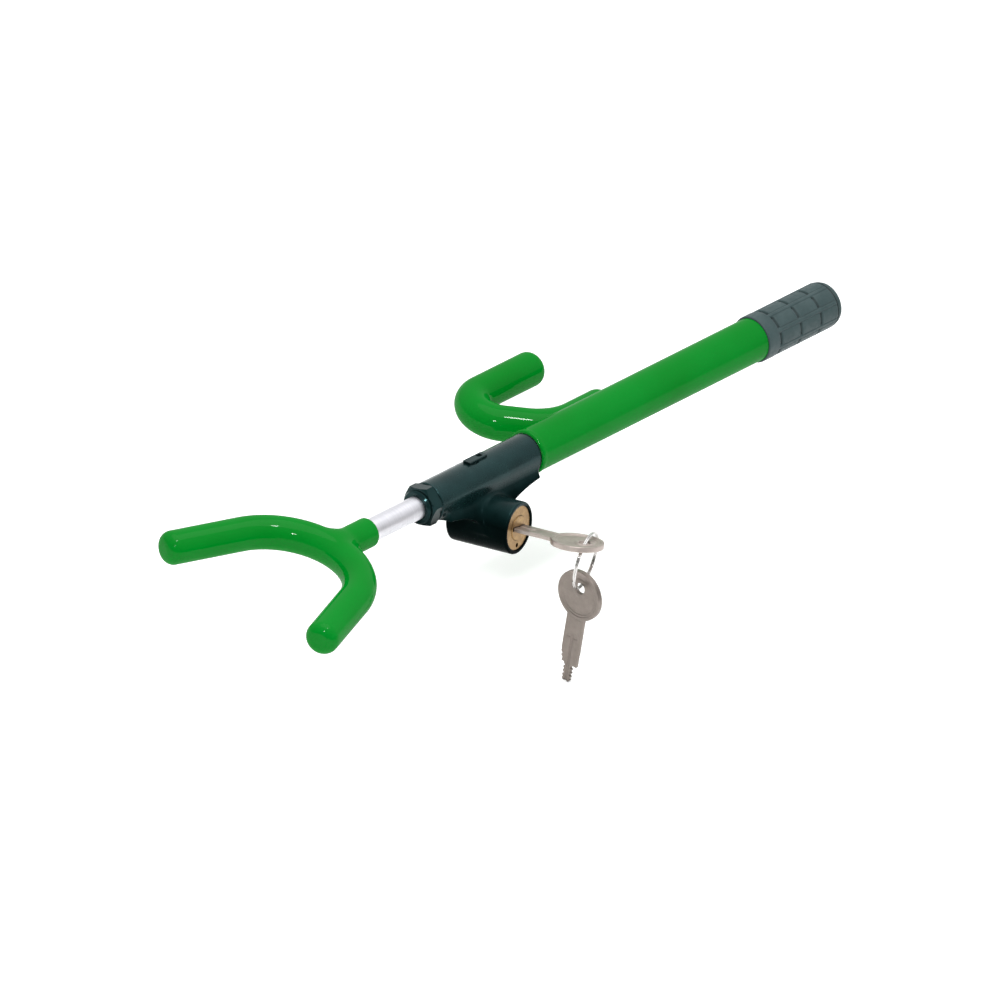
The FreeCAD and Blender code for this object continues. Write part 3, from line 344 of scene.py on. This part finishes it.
def green_vinyl():
    look = Look("green_vinyl", Specular_IOR_Level=0.0, Coat_Weight=0.2, Coat_Roughness=0.05)
    broad = look.noise(22, 2)
    fine = look.noise(420, 4, 0.6)
    base = look.mix(look.ramp(broad, 0.35, 0.65), (0.0, 0.166, 0.011), (0.0, 0.190, 0.015))
    base = look.mix(look.ramp(fine, 0.55, 0.8, 0, 0.25), base, (0.0, 0.155, 0.011))
    scuff = look.ramp(look.noise(1.0, 4, 0.7, look.stretched((60, 260, 260))), 0.66, 0.74, 0, 0.16)
    look.set("Base Color", look.mix(scuff, base, (0.005, 0.22, 0.03)))
    rough = look.ramp(look.noise(55, 3), 0.3, 0.7, 0.13, 0.24)
    look.set("Roughness", look.math("ADD", rough, scuff))
    look.bump((look.noise(48, 1.5), 0.28), (look.noise(900, 2), 0.010))
    return look.material


def satin_steel():
    look = Look("satin_steel", Metallic=1.0)
    rings = look.noise(1.0, 4, 0.6, look.stretched((2400, 90, 90)))
    grain = look.noise(2600, 2)
    base = look.mix(look.ramp(rings, 0.3, 0.7), (0.62, 0.62, 0.66), (0.74, 0.74, 0.78))
    smear = look.noise(1.0, 3, 0.6, look.stretched((40, 160, 160)))
    look.set("Base Color", look.mix(look.ramp(smear, 0.55, 0.75, 0, 0.35), base, (0.50, 0.49, 0.50)))
    look.set("Roughness", look.ramp(look.noise(130, 3), 0.3, 0.7, 0.34, 0.46))
    look.bump((rings, 0.003), (grain, 0.004))
    return look.material


def plain_steel(name, colour, dark, low, high):
    """Inner steel: drawn, bent or hardened, with light oil stains."""
    look = Look(name, Metallic=1.0)
    stain = look.noise(150, 4, 0.6)
    look.set("Base Color", look.mix(look.ramp(stain, 0.4, 0.7), colour, dark))
    look.set("Roughness", look.ramp(look.noise(400, 3), 0.3, 0.7, low, high))
    look.bump((look.noise(1.0, 3, 0.6, look.stretched((120, 1500, 1500))), 0.008))
    return look.material


def black_casting(name="black_casting", low=0.18, high=0.30, grain=0.005, shine=0.36):
    """Black paint on a casting, with painted shade: it is darker and duller low down, in the piece's own
    frame, and darker in corners.
    """
    look = Look(name, Specular_Tint=(0.45, 0.95, 1.0, 1.0))
    height = look.node("SeparateXYZ", {"Vector": look.place}, 2)
    # Painted shade: the paint reflects less light low down.
    look.set("Specular IOR Level", look.ramp(height, -0.007, 0.005, 0.01, shine))
    cloud = look.noise(70, 3)
    base = look.mix(look.ramp(cloud, 0.3, 0.7), (0.002, 0.008, 0.008), (0.005, 0.018, 0.018))
    chips = look.ramp(look.noise(520, 5, 0.65), 0.72, 0.78, 0, 0.4)
    base = look.mix(chips, base, (0.010, 0.030, 0.030))
    # Painted shade: the colour fades to near black low down.
    base = look.mix(look.ramp(height, -0.012, -0.004, 0.85, 0.0), base, (0.0003, 0.0010, 0.0008))
    # Painted shade: darker in corners and grooves.
    look.set("Base Color", look.painted_corner_shade(base, 2.0, (0.001, 0.002, 0.002)))
    look.set("Roughness", look.ramp(look.noise(240, 4, 0.6), 0.3, 0.7, low, high))
    look.bump((look.noise(95, 2), 0.10), (look.noise(1300, 3, 0.6), grain))
    return look.material


TURNED_RINGS = 18000.0  # radians of the turning marks' wave to each metre of radius


def brass(name, colour, dark):
    """Turned brass: fine rings round the lock's own axis."""
    look = Look(name, Metallic=1.0)
    spin = Matrix(LOCK.tolist()).to_euler()
    local = look.stretched((1, 1, 1), tuple(LOCK_ORIGIN * MM), tuple(spin), "TEXTURE")
    split = look.node("SeparateXYZ", {"Vector": local}).node
    radius = look.math("SQRT", look.math("ADD", look.math("POWER", split.outputs[0], 2.0),
                                         look.math("POWER", split.outputs[1], 2.0)))
    rings = look.math("SINE", look.math("MULTIPLY", radius, TURNED_RINGS))
    tone = look.noise(300, 4, 0.6)
    base = look.mix(look.ramp(tone, 0.3, 0.7), colour, dark)
    stain = look.ramp(look.noise(900, 4, 0.65), 0.58, 0.75, 0, 0.55)
    base = look.mix(stain, base, (0.11, 0.06, 0.03))
    # Painted shade: darker in corners and grooves.
    look.set("Base Color", look.painted_corner_shade(base, 1.2, (0.04, 0.02, 0.01)))
    look.set("Roughness", look.ramp(look.noise(700, 3), 0.3, 0.7, 0.26, 0.44))
    look.bump((rings, 0.004), (look.noise(2200, 3), 0.010))
    return look.material


def worn_and_shaded_nickel():
    """The keys' plating, with scratches and painted shade: it is darker low down, in the piece's own
    frame, and in corners.
    """
    look = Look("key_nickel", Metallic=1.0)
    tone = look.noise(160, 4, 0.6)
    base = look.mix(look.ramp(tone, 0.3, 0.7), (0.40, 0.345, 0.315), (0.50, 0.435, 0.40))
    scratch = look.noise(1.0, 5, 0.7, look.stretched((500, 500, 2200), rotation=(0.4, 0.8, 0.2)))
    base = look.mix(look.ramp(scratch, 0.55, 0.75, 0, 0.4), base, (0.26, 0.22, 0.19))
    height = look.node("SeparateXYZ", {"Vector": look.place}, 2)
    # Painted shade: darker low down.
    base = look.mix(look.ramp(height, -0.034, -0.024, 0.62, 0.0), base, (0.10, 0.085, 0.07))
    # Painted shade: darker in corners and grooves.
    look.set("Base Color", look.painted_corner_shade(base, 1.6, (0.035, 0.028, 0.022)))
    look.set("Roughness", look.ramp(look.noise(420, 5, 0.65), 0.3, 0.7, 0.40, 0.54))
    look.bump((scratch, 0.010), (look.noise(2600, 2), 0.006))
    return look.material


def ring_wire():
    look = Look("ring_steel", Metallic=1.0)
    tone = look.noise(260, 4, 0.6)
    look.set("Base Color", look.mix(look.ramp(tone, 0.35, 0.7), (0.66, 0.65, 0.64), (0.42, 0.40, 0.38)))
    look.set("Roughness", look.ramp(look.noise(900, 3), 0.3, 0.7, 0.14, 0.30))
    look.bump((look.noise(2500, 2), 0.006))
    return look.material


def rubber(name, low, high, grain=0.02):
    look = Look(name, Specular_IOR_Level=0.35)
    cloud = look.noise(90, 3)
    base = look.mix(look.ramp(cloud, 0.3, 0.7), low, high)
    dust = look.ramp(look.noise(700, 5, 0.7), 0.6, 0.8, 0, 0.35)
    dusty = tuple(min(1.0, v * 1.7) for v in high)
    # Painted shade: darker in corners and grooves. The dust is the rubber's own.
    look.set("Base Color", look.painted_corner_shade(look.mix(dust, base, dusty), 1.8, (0.002, 0.006, 0.007)))
    look.set("Roughness", look.ramp(look.noise(500, 4, 0.6), 0.3, 0.7, 0.46, 0.66))
    look.bump((look.noise(2400, 3, 0.6), grain))
    return look.material


def nylon():
    look = Look("bush_nylon", Specular_IOR_Level=0.4)
    tone = look.noise(200, 3)
    look.set("Base Color", look.mix(look.ramp(tone, 0.3, 0.7), (0.70, 0.68, 0.62), (0.80, 0.79, 0.74)))
    look.set("Roughness", look.ramp(look.noise(600, 3), 0.3, 0.7, 0.38, 0.52))
    look.bump((look.noise(1800, 3), 0.01))
    return look.material


def pale_floor():
    look = Look("floor", Roughness=0.9, Specular_IOR_Level=0.1, Emission_Strength=0.22,
                Emission_Color=(1.0, 1.0, 1.0, 1.0))
    tone = look.noise(6, 3)
    look.set("Base Color", look.mix(look.ramp(tone, 0.3, 0.7), (0.90, 0.90, 0.90), (0.93, 0.93, 0.93)))
    return look.material


MATERIALS = {
    "green_vinyl": green_vinyl(),
    "tube_steel": plain_steel("tube_steel", (0.50, 0.50, 0.50), (0.36, 0.35, 0.34), 0.35, 0.5),
    "rod_steel": plain_steel("rod_steel", (0.46, 0.46, 0.46), (0.32, 0.31, 0.30), 0.35, 0.5),
    "satin_steel": satin_steel(),
    "grip_rubber": rubber("grip_rubber", (0.022, 0.046, 0.048), (0.036, 0.064, 0.066)),
    "black_casting": black_casting(),
    "black_nut": black_casting("black_nut", 0.10, 0.18, 0.004, 0.22),
    "bush_nylon": nylon(),
    "wiper_rubber": rubber("wiper_rubber", (0.012, 0.012, 0.012), (0.022, 0.022, 0.022)),
    "brass": brass("brass", (0.34, 0.215, 0.09), (0.22, 0.135, 0.06)),
    "wafer_brass": brass("wafer_brass", (0.70, 0.52, 0.26), (0.58, 0.42, 0.20)),
    "spring_steel": plain_steel("spring_steel", (0.20, 0.20, 0.21), (0.10, 0.10, 0.10), 0.3, 0.5),
    "bolt_steel": plain_steel("bolt_steel", (0.52, 0.52, 0.54), (0.40, 0.40, 0.42), 0.2, 0.35),
    "key_nickel": worn_and_shaded_nickel(),
    "ring_steel": ring_wire(),
}

for part in frame["record"]["subparts"]:
    node = frame["nodes"][part["node"]]
    node.data.materials.clear()
    node.data.materials.append(MATERIALS[part["material_slot"]])


# ---------------------------------------------------------------- green vinyl: tube and hook


def hook_corners():
    """Points of the hook's line: the bend's centre, the straight run's ends, the return's centre."""
    angle = math.radians(HOOK_BEND_ANGLE)
    bend_centre = np.array([HOOK_BEND_X, HOOK_LEG_Y + HOOK_BEND_R, HOOK_Z])
    run_start = bend_centre + HOOK_BEND_R * np.array([-math.sin(angle), -math.cos(angle), 0])
    return_y = HOOK_RETURN_Y - HOOK_RETURN_R
    run = (return_y - HOOK_RETURN_R * math.cos(angle) - run_start[1]) / math.sin(angle)
    run_end = run_start + run * np.array([-math.cos(angle), math.sin(angle), 0])
    return_centre = run_end + HOOK_RETURN_R * np.array([math.sin(angle), math.cos(angle), 0])
    return bend_centre, run_start, run_end, return_centre


def hook_field(points):
    bend_centre, run_start, run_end, return_centre = hook_corners()
    leg_tip = np.array([HOOK_LEG_END, HOOK_LEG_Y, HOOK_Z])
    arm_tip = np.array([HOOK_TIP_X, HOOK_RETURN_Y, HOOK_Z])
    first, last = 270 - HOOK_BEND_ANGLE, 270
    pieces = [
        end_field(points, leg_tip, -X_AXIS, HOOK_LEG_END - HOOK_BEND_X, HOOK_R, TIP_ROUND),
        arc_field(points, bend_centre, HOOK_BEND_R, first, last, HOOK_R),
        run_field(points, run_start, run_end, HOOK_R),
        arc_field(points, return_centre, HOOK_RETURN_R, 90, first, HOOK_R),
        end_field(points, arm_tip, -X_AXIS, HOOK_TIP_X - return_centre[0], HOOK_R, TIP_ROUND),
    ]
    return np.minimum.reduce(pieces)


def tube_field(points):
    """The tube's vinyl, with its thicker lip at the lock head."""
    lip = LIP_HEIGHT * np.exp(-((points[:, 0] - LIP_X) / LIP_SPREAD) ** 2)
    side = np.hypot(points[:, 1], points[:, 2]) - lip
    level = np.stack([points[:, 0], side, np.zeros(len(side))], axis=1)
    return drum_field(level, np.zeros(3), X_AXIS, 0.0, TUBE_COAT_END, TUBE_COAT_R, 0.9)


def green_field(points):
    return joined(tube_field(points), hook_field(points), HOOK_FILLET)


def make_green_skin():
    skin = netted("vinyl_tube_and_hook", green_field, (-1.5, -14, -22), (186, 75, 14), VINYL_CELL)
    return dress(skin, MATERIALS["green_vinyl"], "lock_body", "green_vinyl",
                 "tube_coating", "hook_coating")


# ---------------------------------------------------------------- green vinyl: fork


def fork_field(points):
    spread = math.radians(FORK_SPREAD)
    centre = np.array([FORK_X - FORK_BEND_R, 0, 0])
    pieces = [arc_field(points, centre, FORK_BEND_R, FORK_SPREAD - 90, 90 - FORK_SPREAD, FORK_R)]
    for side in (-1, 1):
        start = centre + FORK_BEND_R * np.array([math.sin(spread), side * math.cos(spread), 0])
        run = (start[0] - FORK_TIP_X) / math.cos(spread) + FORK_TIP_RUN
        out = np.array([-math.cos(spread), side * math.sin(spread), 0])
        pieces.append(end_field(points, start + run * out, -out, run, FORK_R, TIP_ROUND))
    collar_run = COLLAR_END - FORK_X - COLLAR_OVERLAP
    collar = end_field(points, np.array([COLLAR_END, 0, 0]), -X_AXIS, collar_run, COLLAR_R, COLLAR_ROUND)
    return joined(np.minimum.reduce(pieces), collar, FORK_FILLET)


def make_fork_skin():
    skin = netted("vinyl_fork", fork_field, (-232, -66, -10.5), (-124, 66, 10.5), VINYL_CELL)
    return dress(skin, MATERIALS["green_vinyl"], "shaft_and_fork", "green_vinyl", "fork_coating")


# ---------------------------------------------------------------- grip

RIB_COUNT, RIB_TURN, RIB_HALF = 8, 98.5, 1.15
RIB_GROOVE, RIB_GROOVE_DEPTH = 0.34, 0.30
RIB_START, RIB_END, END_GROOVE = 8.2, 55.8, 1.0
CROSS_FIRST, CROSS_PITCH, CROSS_COUNT = 9.85, 16.3, 3
CROSS_HALF, CROSS_REACH, CROSS_DEPTH = 0.85, 3.55, 1.25
PAD_DROP, PAD_HALF, PAD_CROWN = 0.16, 5.2, 0.2
FRONT_EDGE, BACK_EDGE, GRIP_SIDES = 0.9, 1.3, 360


def soft_step(value, edge, blur):
    return 1 / (1 + np.exp(-(value - edge) / blur))


def grip_radius(along, angle):
    """The grip's radius: a plain front band, long ribs with thin grooves, and short cross grooves."""
    sector = 2 * math.pi / RIB_COUNT
    turned = (angle - math.radians(RIB_TURN)) / sector
    off_rib = (turned - np.round(turned)) * sector * GRIP_R
    off_pad = (turned - np.floor(turned) - 0.5) * sector * GRIP_R
    in_length = soft_step(along, RIB_START, 0.12) * soft_step(-along, -RIB_END, 0.12)
    thin = np.exp(-((np.abs(off_rib) - RIB_HALF) / RIB_GROOVE) ** 2)
    radius = GRIP_R - RIB_GROOVE_DEPTH * thin * in_length
    crown = 1 - (off_pad / PAD_HALF) ** 2 * PAD_CROWN
    radius -= PAD_DROP * soft_step(np.abs(off_rib), RIB_HALF, 0.1) * in_length * crown
    for number in range(CROSS_COUNT):
        far = np.abs(along - CROSS_FIRST - CROSS_PITCH * number)
        dip = soft_step(-far, -CROSS_HALF, 0.09) * soft_step(-np.abs(off_pad), -CROSS_REACH, 0.12)
        radius -= CROSS_DEPTH * dip
    radius -= END_GROOVE * np.exp(-((along - RIB_END - 0.5) / 0.5) ** 2)
    front = np.clip((FRONT_EDGE - along) / FRONT_EDGE, 0, 1)
    back = np.clip((along - GRIP_LENGTH + BACK_EDGE) / BACK_EDGE, 0, 1)
    radius -= 0.9 * (1 - np.sqrt(np.clip(1 - front ** 2, 0, 1)))
    radius -= 1.0 * (1 - np.sqrt(np.clip(1 - back ** 2, 0, 1)))
    return radius


def make_grip():
    ends = np.linspace(0, BACK_EDGE, 9)
    middle = np.linspace(BACK_EDGE, GRIP_LENGTH - BACK_EDGE, 200)
    along = np.unique(np.concatenate([ends, middle, GRIP_LENGTH - ends]))
    angle = np.arange(GRIP_SIDES) * 2 * math.pi / GRIP_SIDES

    def ring_at(x, radius):
        return np.stack([np.full(len(angle), GRIP_START + x), radius * np.cos(angle),
                         radius * np.sin(angle)], axis=1)

    rings = [ring_at(x, grip_radius(np.full(len(angle), x), angle)) for x in along]
    rings += [ring_at(x, GRIP_INNER_R) for x in (GRIP_LENGTH, 0)]
    count, sides = len(rings), len(angle)
    faces = []
    for ring in range(count):
        here, there = ring * sides, (ring + 1) % count * sides
        faces += [(here + k, there + k, there + (k + 1) % sides, here + (k + 1) % sides)
                  for k in range(sides)]
    sleeve = new_piece("rubber_grip", np.concatenate(rings), faces)
    return dress(sleeve, MATERIALS["grip_rubber"], "lock_body", "grip_rubber", "grip_sleeve")


# ---------------------------------------------------------------- lock head

WEB_FAR, WEB_TOP_HALF, WEB_NEAR, WEB_TOP = 6.5, 8.0, 19.0, -2.0
WEB_EDGE, HEAD_FILLET, BORE_EDGE = 1.4, 3.0, 0.35
SPIGOT_R, SPIGOT_END = 9.0, 12.0
SHAFT_BORE_R, BUSH_BORE_R, BUSH_BORE_LENGTH, BOLT_BORE_R = 6.45, 8.0, 12, 3.06
PIN_POCKET_R, PIN_POCKET_START, PIN_POCKET_END = 8.2, -6.0, 7.0
CYLINDER_BORE_R, CYLINDER_BORE_START = 12.0, 6.0


def web_outline():
    """The web between barrel and lock body, in the head's own upright plane."""
    def bowed(start, middle, end, steps=14):
        share = np.linspace(0, 1, steps)[:, None]
        lift = 2 * middle - (start + end) / 2
        return (1 - share) ** 2 * start + 2 * share * (1 - share) * lift + share ** 2 * end
    front, back, foot, low = -74.0, -2.0, 11.4, -LOCK_DROP
    back_bow = bowed(np.array([back, -10.0]), np.array([BOLT_X + 16.4, -14.6]),
                     np.array([BOLT_X + foot, low]))
    front_bow = bowed(np.array([BOLT_X - foot, low]), np.array([BOLT_X - 14.4, -14.0]),
                      np.array([front, -10.0]))
    return np.concatenate([[[front, -2.0], [back, -2.0]], back_bow, front_bow])


WEB = web_outline()


def housing_field(points):
    head = points @ HEAD
    barrel = drum_field(head, np.zeros(3), X_AXIS, BARREL_START, 0.0, BARREL_R, 0.5)
    boss = drum_field(head, np.zeros(3), X_AXIS, BOSS_START, BARREL_START + 2, BOSS_R)
    spigot = drum_field(head, np.zeros(3), X_AXIS, -2.0, SPIGOT_END, SPIGOT_R)
    slope = (WEB_NEAR - WEB_TOP_HALF) / (LOCK_DROP + WEB_TOP)
    near_side = -head[:, 1] - WEB_TOP_HALF + slope * (head[:, 2] - WEB_TOP)
    thickness = np.maximum(head[:, 1] - WEB_FAR, near_side / math.hypot(1, slope))
    web = both(outline_field(head[:, [0, 2]], WEB), thickness, WEB_EDGE)
    body = drum_field(points, LOCK_ORIGIN, LOCK[:, 2], LOCK_BODY_BACK, LOCK_FACE + LOCK_RIM,
                      LOCK_BODY_R, 1.0)
    outside = joined(barrel, web, HEAD_FILLET)
    outside = joined(outside, body, HEAD_FILLET)
    outside = np.minimum.reduce([outside, boss, spigot])
    inside = np.minimum.reduce([
        drum_field(head, np.zeros(3), X_AXIS, BOSS_START - 5, 20.0, SHAFT_BORE_R),
        drum_field(head, np.zeros(3), X_AXIS, BOSS_START - 5, BOSS_START + BUSH_BORE_LENGTH, BUSH_BORE_R),
        drum_field(head, np.array([BOLT_X, 0, 0]), Z_AXIS, -LOCK_DROP, BARREL_R + 5, BOLT_BORE_R),
        drum_field(points, LOCK_ORIGIN, LOCK[:, 2], PIN_POCKET_START, PIN_POCKET_END, PIN_POCKET_R),
        drum_field(points, LOCK_ORIGIN, LOCK[:, 2], CYLINDER_BORE_START, LOCK_FACE + 9, CYLINDER_BORE_R),
    ])
    return without(outside, inside, BORE_EDGE)


def make_housing():
    casting = netted("cast_lock_head", housing_field, (-87, -35, -38), (14, 14, 13), CASTING_CELL, HEAD)
    return dress(casting, MATERIALS["black_casting"], "lock_body", "black_casting", "lock_housing")


# ---------------------------------------------------------------- keys and ring

NECK_PANEL_LENGTH, KEY_GROOVE_HALF, KEY_GROOVE_DEPTH = 12.6, 0.8, 0.5


def blade_outline():
    """The stepped blade with its cuts, as in the CAD source, and the neck above it."""
    wide, slim = KEY_BIT_WIDTH / 2, KEY_TIP_WIDTH / 2
    bit_end = -KEY_BIT_LENGTH
    tip_end = bit_end - KEY_TIP_LENGTH
    right = [(wide, 0), (wide, bit_end * 0.25), (wide - 1.0, bit_end * 0.4), (wide - 0.3, bit_end * 0.55),
             (wide - 1.4, bit_end * 0.75), (wide - 1.0, bit_end), (slim, bit_end)]
    cuts = 4
    for number in range(cuts):
        top = bit_end - KEY_TIP_LENGTH * (number + 0.35) / (cuts + 0.6)
        depth = 0.55 if number % 2 else 0.85
        right += [(slim, top), (slim - depth, top - 0.7), (slim - depth, top - 1.3), (slim, top - 1.9)]
    right.append((slim - 1.0, tip_end))
    left = [(-x, z) for x, z in reversed(right) if z < bit_end]
    left += [(-slim, bit_end), (-wide, bit_end), (-wide, 0)]
    neck, top = KEY_NECK_WIDTH / 2, KEY_NECK_LENGTH + 2.0
    return np.array([(neck, top), (neck, 0)] + right + left + [(-neck, 0), (-neck, top)])


BLADE = blade_outline()


def key_field(points):
    """A key in its own frame: its shoulder at Z = 0, its bow above and its blade below."""
    x, y, z = points.T
    depth = np.abs(y)
    bow_z = KEY_NECK_LENGTH + KEY_BOW_R
    hole_z = bow_z + KEY_HOLE_OFFSET
    from_bow = np.hypot(x, z - bow_z)
    from_hole = np.hypot(x, z - hole_z)
    rim = 0.35 * soft_step(from_bow, KEY_BOW_R - 1.9, 0.08)
    ring = 0.15 * np.exp(-((from_hole - KEY_HOLE_R - 1.0) / 0.45) ** 2)
    panel = -0.30 * soft_step(-from_bow, 3.2 - KEY_BOW_R, 0.10)
    panel = panel * soft_step(from_hole, KEY_HOLE_R + 2.2, 0.10)
    bow = both(from_bow - KEY_BOW_R, depth - KEY_BOW_HALF - rim - ring - panel, 0.30)
    bow = without(bow, from_hole - KEY_HOLE_R, 0.30)
    in_panel = soft_step(z, KEY_NECK_LENGTH - NECK_PANEL_LENGTH, 0.10)
    recess = 0.25 * soft_step(-np.abs(x), -3.6, 0.08) * in_panel
    groove = KEY_GROOVE_DEPTH * soft_step(-np.abs(x), -KEY_GROOVE_HALF, 0.07)
    groove *= soft_step(-z, -KEY_NECK_LENGTH / 2, 0.10)
    thick = KEY_HALF - np.maximum(recess, groove)
    blade = both(outline_field(np.stack([x, z], axis=1), BLADE), depth - thick, 0.22)
    return joined(bow, blade, 0.5)


def make_key(name, node, body, place, origin):
    """A key stamped and milled in detail, standing where the CAD key does."""
    low, high = (-15.2, -2.2, -19.0), (15.2, 2.2, KEY_NECK_LENGTH + 2 * KEY_BOW_R + 0.9)
    key = netted(name, lambda points: key_field((points - origin) @ place), low, high, KEY_CELL,
                 place, origin)
    return dress(key, MATERIALS["key_nickel"], body, "key_nickel", node)


def ring_frame():
    """The ring's centre, and its level direction."""
    hole_z = KEY_SHOULDER + KEY_NECK_LENGTH + KEY_BOW_R + KEY_HOLE_OFFSET
    hole = LOCK_ORIGIN + LOCK[:, 2] * hole_z
    heading = math.radians(RING_HEADING)
    level = np.array([math.cos(heading), math.sin(heading), 0])
    flat = KEY[:, 1]
    along = level - Z_AXIS * (level @ flat) / flat[2]
    along /= length_of(along[None])[0]
    down = np.cross(along, np.cross(Z_AXIS, level))
    down *= -np.sign(down[2])
    drop = math.sqrt(RING_R ** 2 - RING_HALF_CHORD ** 2)
    return hole + along * RING_HALF_CHORD + down * drop, level


def make_ring():
    """A split ring: two turns of wire side by side, joined by a short crossing."""
    centre, level = ring_frame()
    across = np.cross(level, Z_AXIS)
    share = np.linspace(0, 2, 321)
    angle = 2 * math.pi * share + math.radians(WIRE_START)
    crossing = np.clip((share - 0.96) / 0.08, 0, 1)
    side = (crossing * crossing * (3 - 2 * crossing) - 0.5) * 2 * RING_COIL_OFFSET
    sides = WIRE_SIDES
    around = np.arange(sides) * 2 * math.pi / sides
    loops = []
    for a, shift in zip(angle, side):
        out = math.cos(a) * level + math.sin(a) * Z_AXIS
        turned = np.outer(np.cos(around), out) + np.outer(np.sin(around), across)
        loops.append(centre + out * RING_R + across * shift + RING_WIRE_R * turned)
    faces = []
    for here in range(0, (len(loops) - 1) * sides, sides):
        there = here + sides
        faces += [(here + k, there + k, there + (k + 1) % sides, here + (k + 1) % sides)
                  for k in range(sides)]
    last = (len(loops) - 1) * sides
    faces += [tuple(range(sides)), tuple(range(last, last + sides))[::-1]]
    wire = new_piece("split_ring", np.concatenate(loops), faces)
    return dress(wire, MATERIALS["ring_steel"], "ring", "ring_steel", "key_ring")


# ---------------------------------------------------------------- build

make_green_skin()
make_fork_skin()
make_grip()
make_housing()
make_key("key_in_lock", "inserted_key", "key", KEY, LOCK_ORIGIN + LOCK[:, 2] * KEY_SHOULDER)
ring_centre, _ = ring_frame()
spare_drop = RING_R + SPARE_HANG + KEY_NECK_LENGTH + KEY_BOW_R + KEY_HOLE_OFFSET
make_key("key_on_ring", "spare_key", "spare", turn("Z", SPARE_HEADING),
         ring_centre - Z_AXIS * spare_drop)
make_ring()


# ---------------------------------------------------------------- floor, light and camera

BRIGHT_SIDE, SKY_DIM, SKY_BRIGHT = (0.55, 0.40, 0.75), 0.22, 1.05
SKY_FROM, SKY_TO = -0.5, 0.9
FLOOR_GAP, FLOOR_HALF = 0.4, 9000.0

# Each lamp's name, direction from the object, distance and size in metres, and power in watts.
LAMPS = [
    ("overhead", (0.1, 0.1, 0.98), 2.4, 2.6, 23.0),
    ("small_front", (-0.72, -0.28, 0.63), 2.6, 0.28, 20.0),
    ("small_top", (-0.12, -0.25, 0.96), 2.2, 0.26, 15.0),
]

# The camera: the frame's directions that point right and up in the picture, the point it looks
# at and the width that it sees there.
VIEW_RIGHT, VIEW_UP = (0.654, -0.745, 0.136), (0.328, 0.441, 0.836)
VIEW_TARGET, VIEW_WIDTH = (-17.1, -0.7, -22.6), 526.011
LENS, SENSOR, CLIP_END = 1600, 36, 100


def make_floor():
    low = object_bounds()[0].z / MM - FLOOR_GAP
    half = FLOOR_HALF
    corners = [(-half, -half, low), (half, -half, low), (half, half, low), (-half, half, low)]
    floor = new_piece("floor", corners, [(0, 1, 2, 3)], smooth=False)
    floor.data.materials.append(pale_floor())


def make_lamp(name, towards, distance, size, power):
    """A round lamp in a direction from the object, facing it."""
    lamp = bpy.data.lights.new(name, "AREA")
    lamp.shape = "DISK"
    lamp.size = size
    lamp.energy = power
    holder = bpy.data.objects.new(name, lamp)
    way = Vector(towards).normalized()
    holder.location = way * distance
    holder.rotation_euler = way.to_track_quat("Z", "Y").to_euler()
    bpy.context.scene.collection.objects.link(holder)


def make_light():
    world = bpy.data.worlds.new("studio")
    world.use_nodes = True
    tree = world.node_tree
    sky = tree.nodes["Background"]
    place = tree.nodes.new("ShaderNodeTexCoord").outputs["Generated"]
    way = tree.nodes.new("ShaderNodeVectorMath")
    way.operation = "DOT_PRODUCT"
    tree.links.new(place, way.inputs[0])
    way.inputs[1].default_value = Vector(BRIGHT_SIDE).normalized()
    level = tree.nodes.new("ShaderNodeMapRange")
    level.interpolation_type = "SMOOTHSTEP"
    limits = {"From Min": SKY_FROM, "From Max": SKY_TO, "To Min": SKY_DIM, "To Max": SKY_BRIGHT}
    for key, value in limits.items():
        level.inputs[key].default_value = value
    tree.links.new(way.outputs["Value"], level.inputs["Value"])
    tree.links.new(level.outputs[0], sky.inputs["Strength"])
    sky.inputs["Color"].default_value = (1.0, 1.0, 1.0, 1.0)
    bpy.context.scene.world = world
    for lamp in LAMPS:
        make_lamp(*lamp)


def make_camera():
    right, up = np.array(VIEW_RIGHT), np.array(VIEW_UP)
    right /= np.linalg.norm(right)
    up -= right * (up @ right)
    up /= np.linalg.norm(up)
    back = np.cross(right, up)
    camera = bpy.data.cameras.new("camera")
    camera.lens, camera.sensor_width, camera.clip_end = LENS, SENSOR, CLIP_END
    target = np.array(VIEW_TARGET) * MM
    spot = target + back * VIEW_WIDTH * MM * camera.lens / camera.sensor_width
    holder = bpy.data.objects.new("camera", camera)
    turned = np.eye(4)
    turned[:3, :3] = np.stack([right, up, back], axis=1)
    turned[:3, 3] = spot
    holder.matrix_world = Matrix(turned.tolist())
    bpy.context.scene.collection.objects.link(holder)
    bpy.context.scene.camera = holder


make_floor()
make_light()
make_camera()
bpy.context.scene.view_settings.view_transform = "Standard"
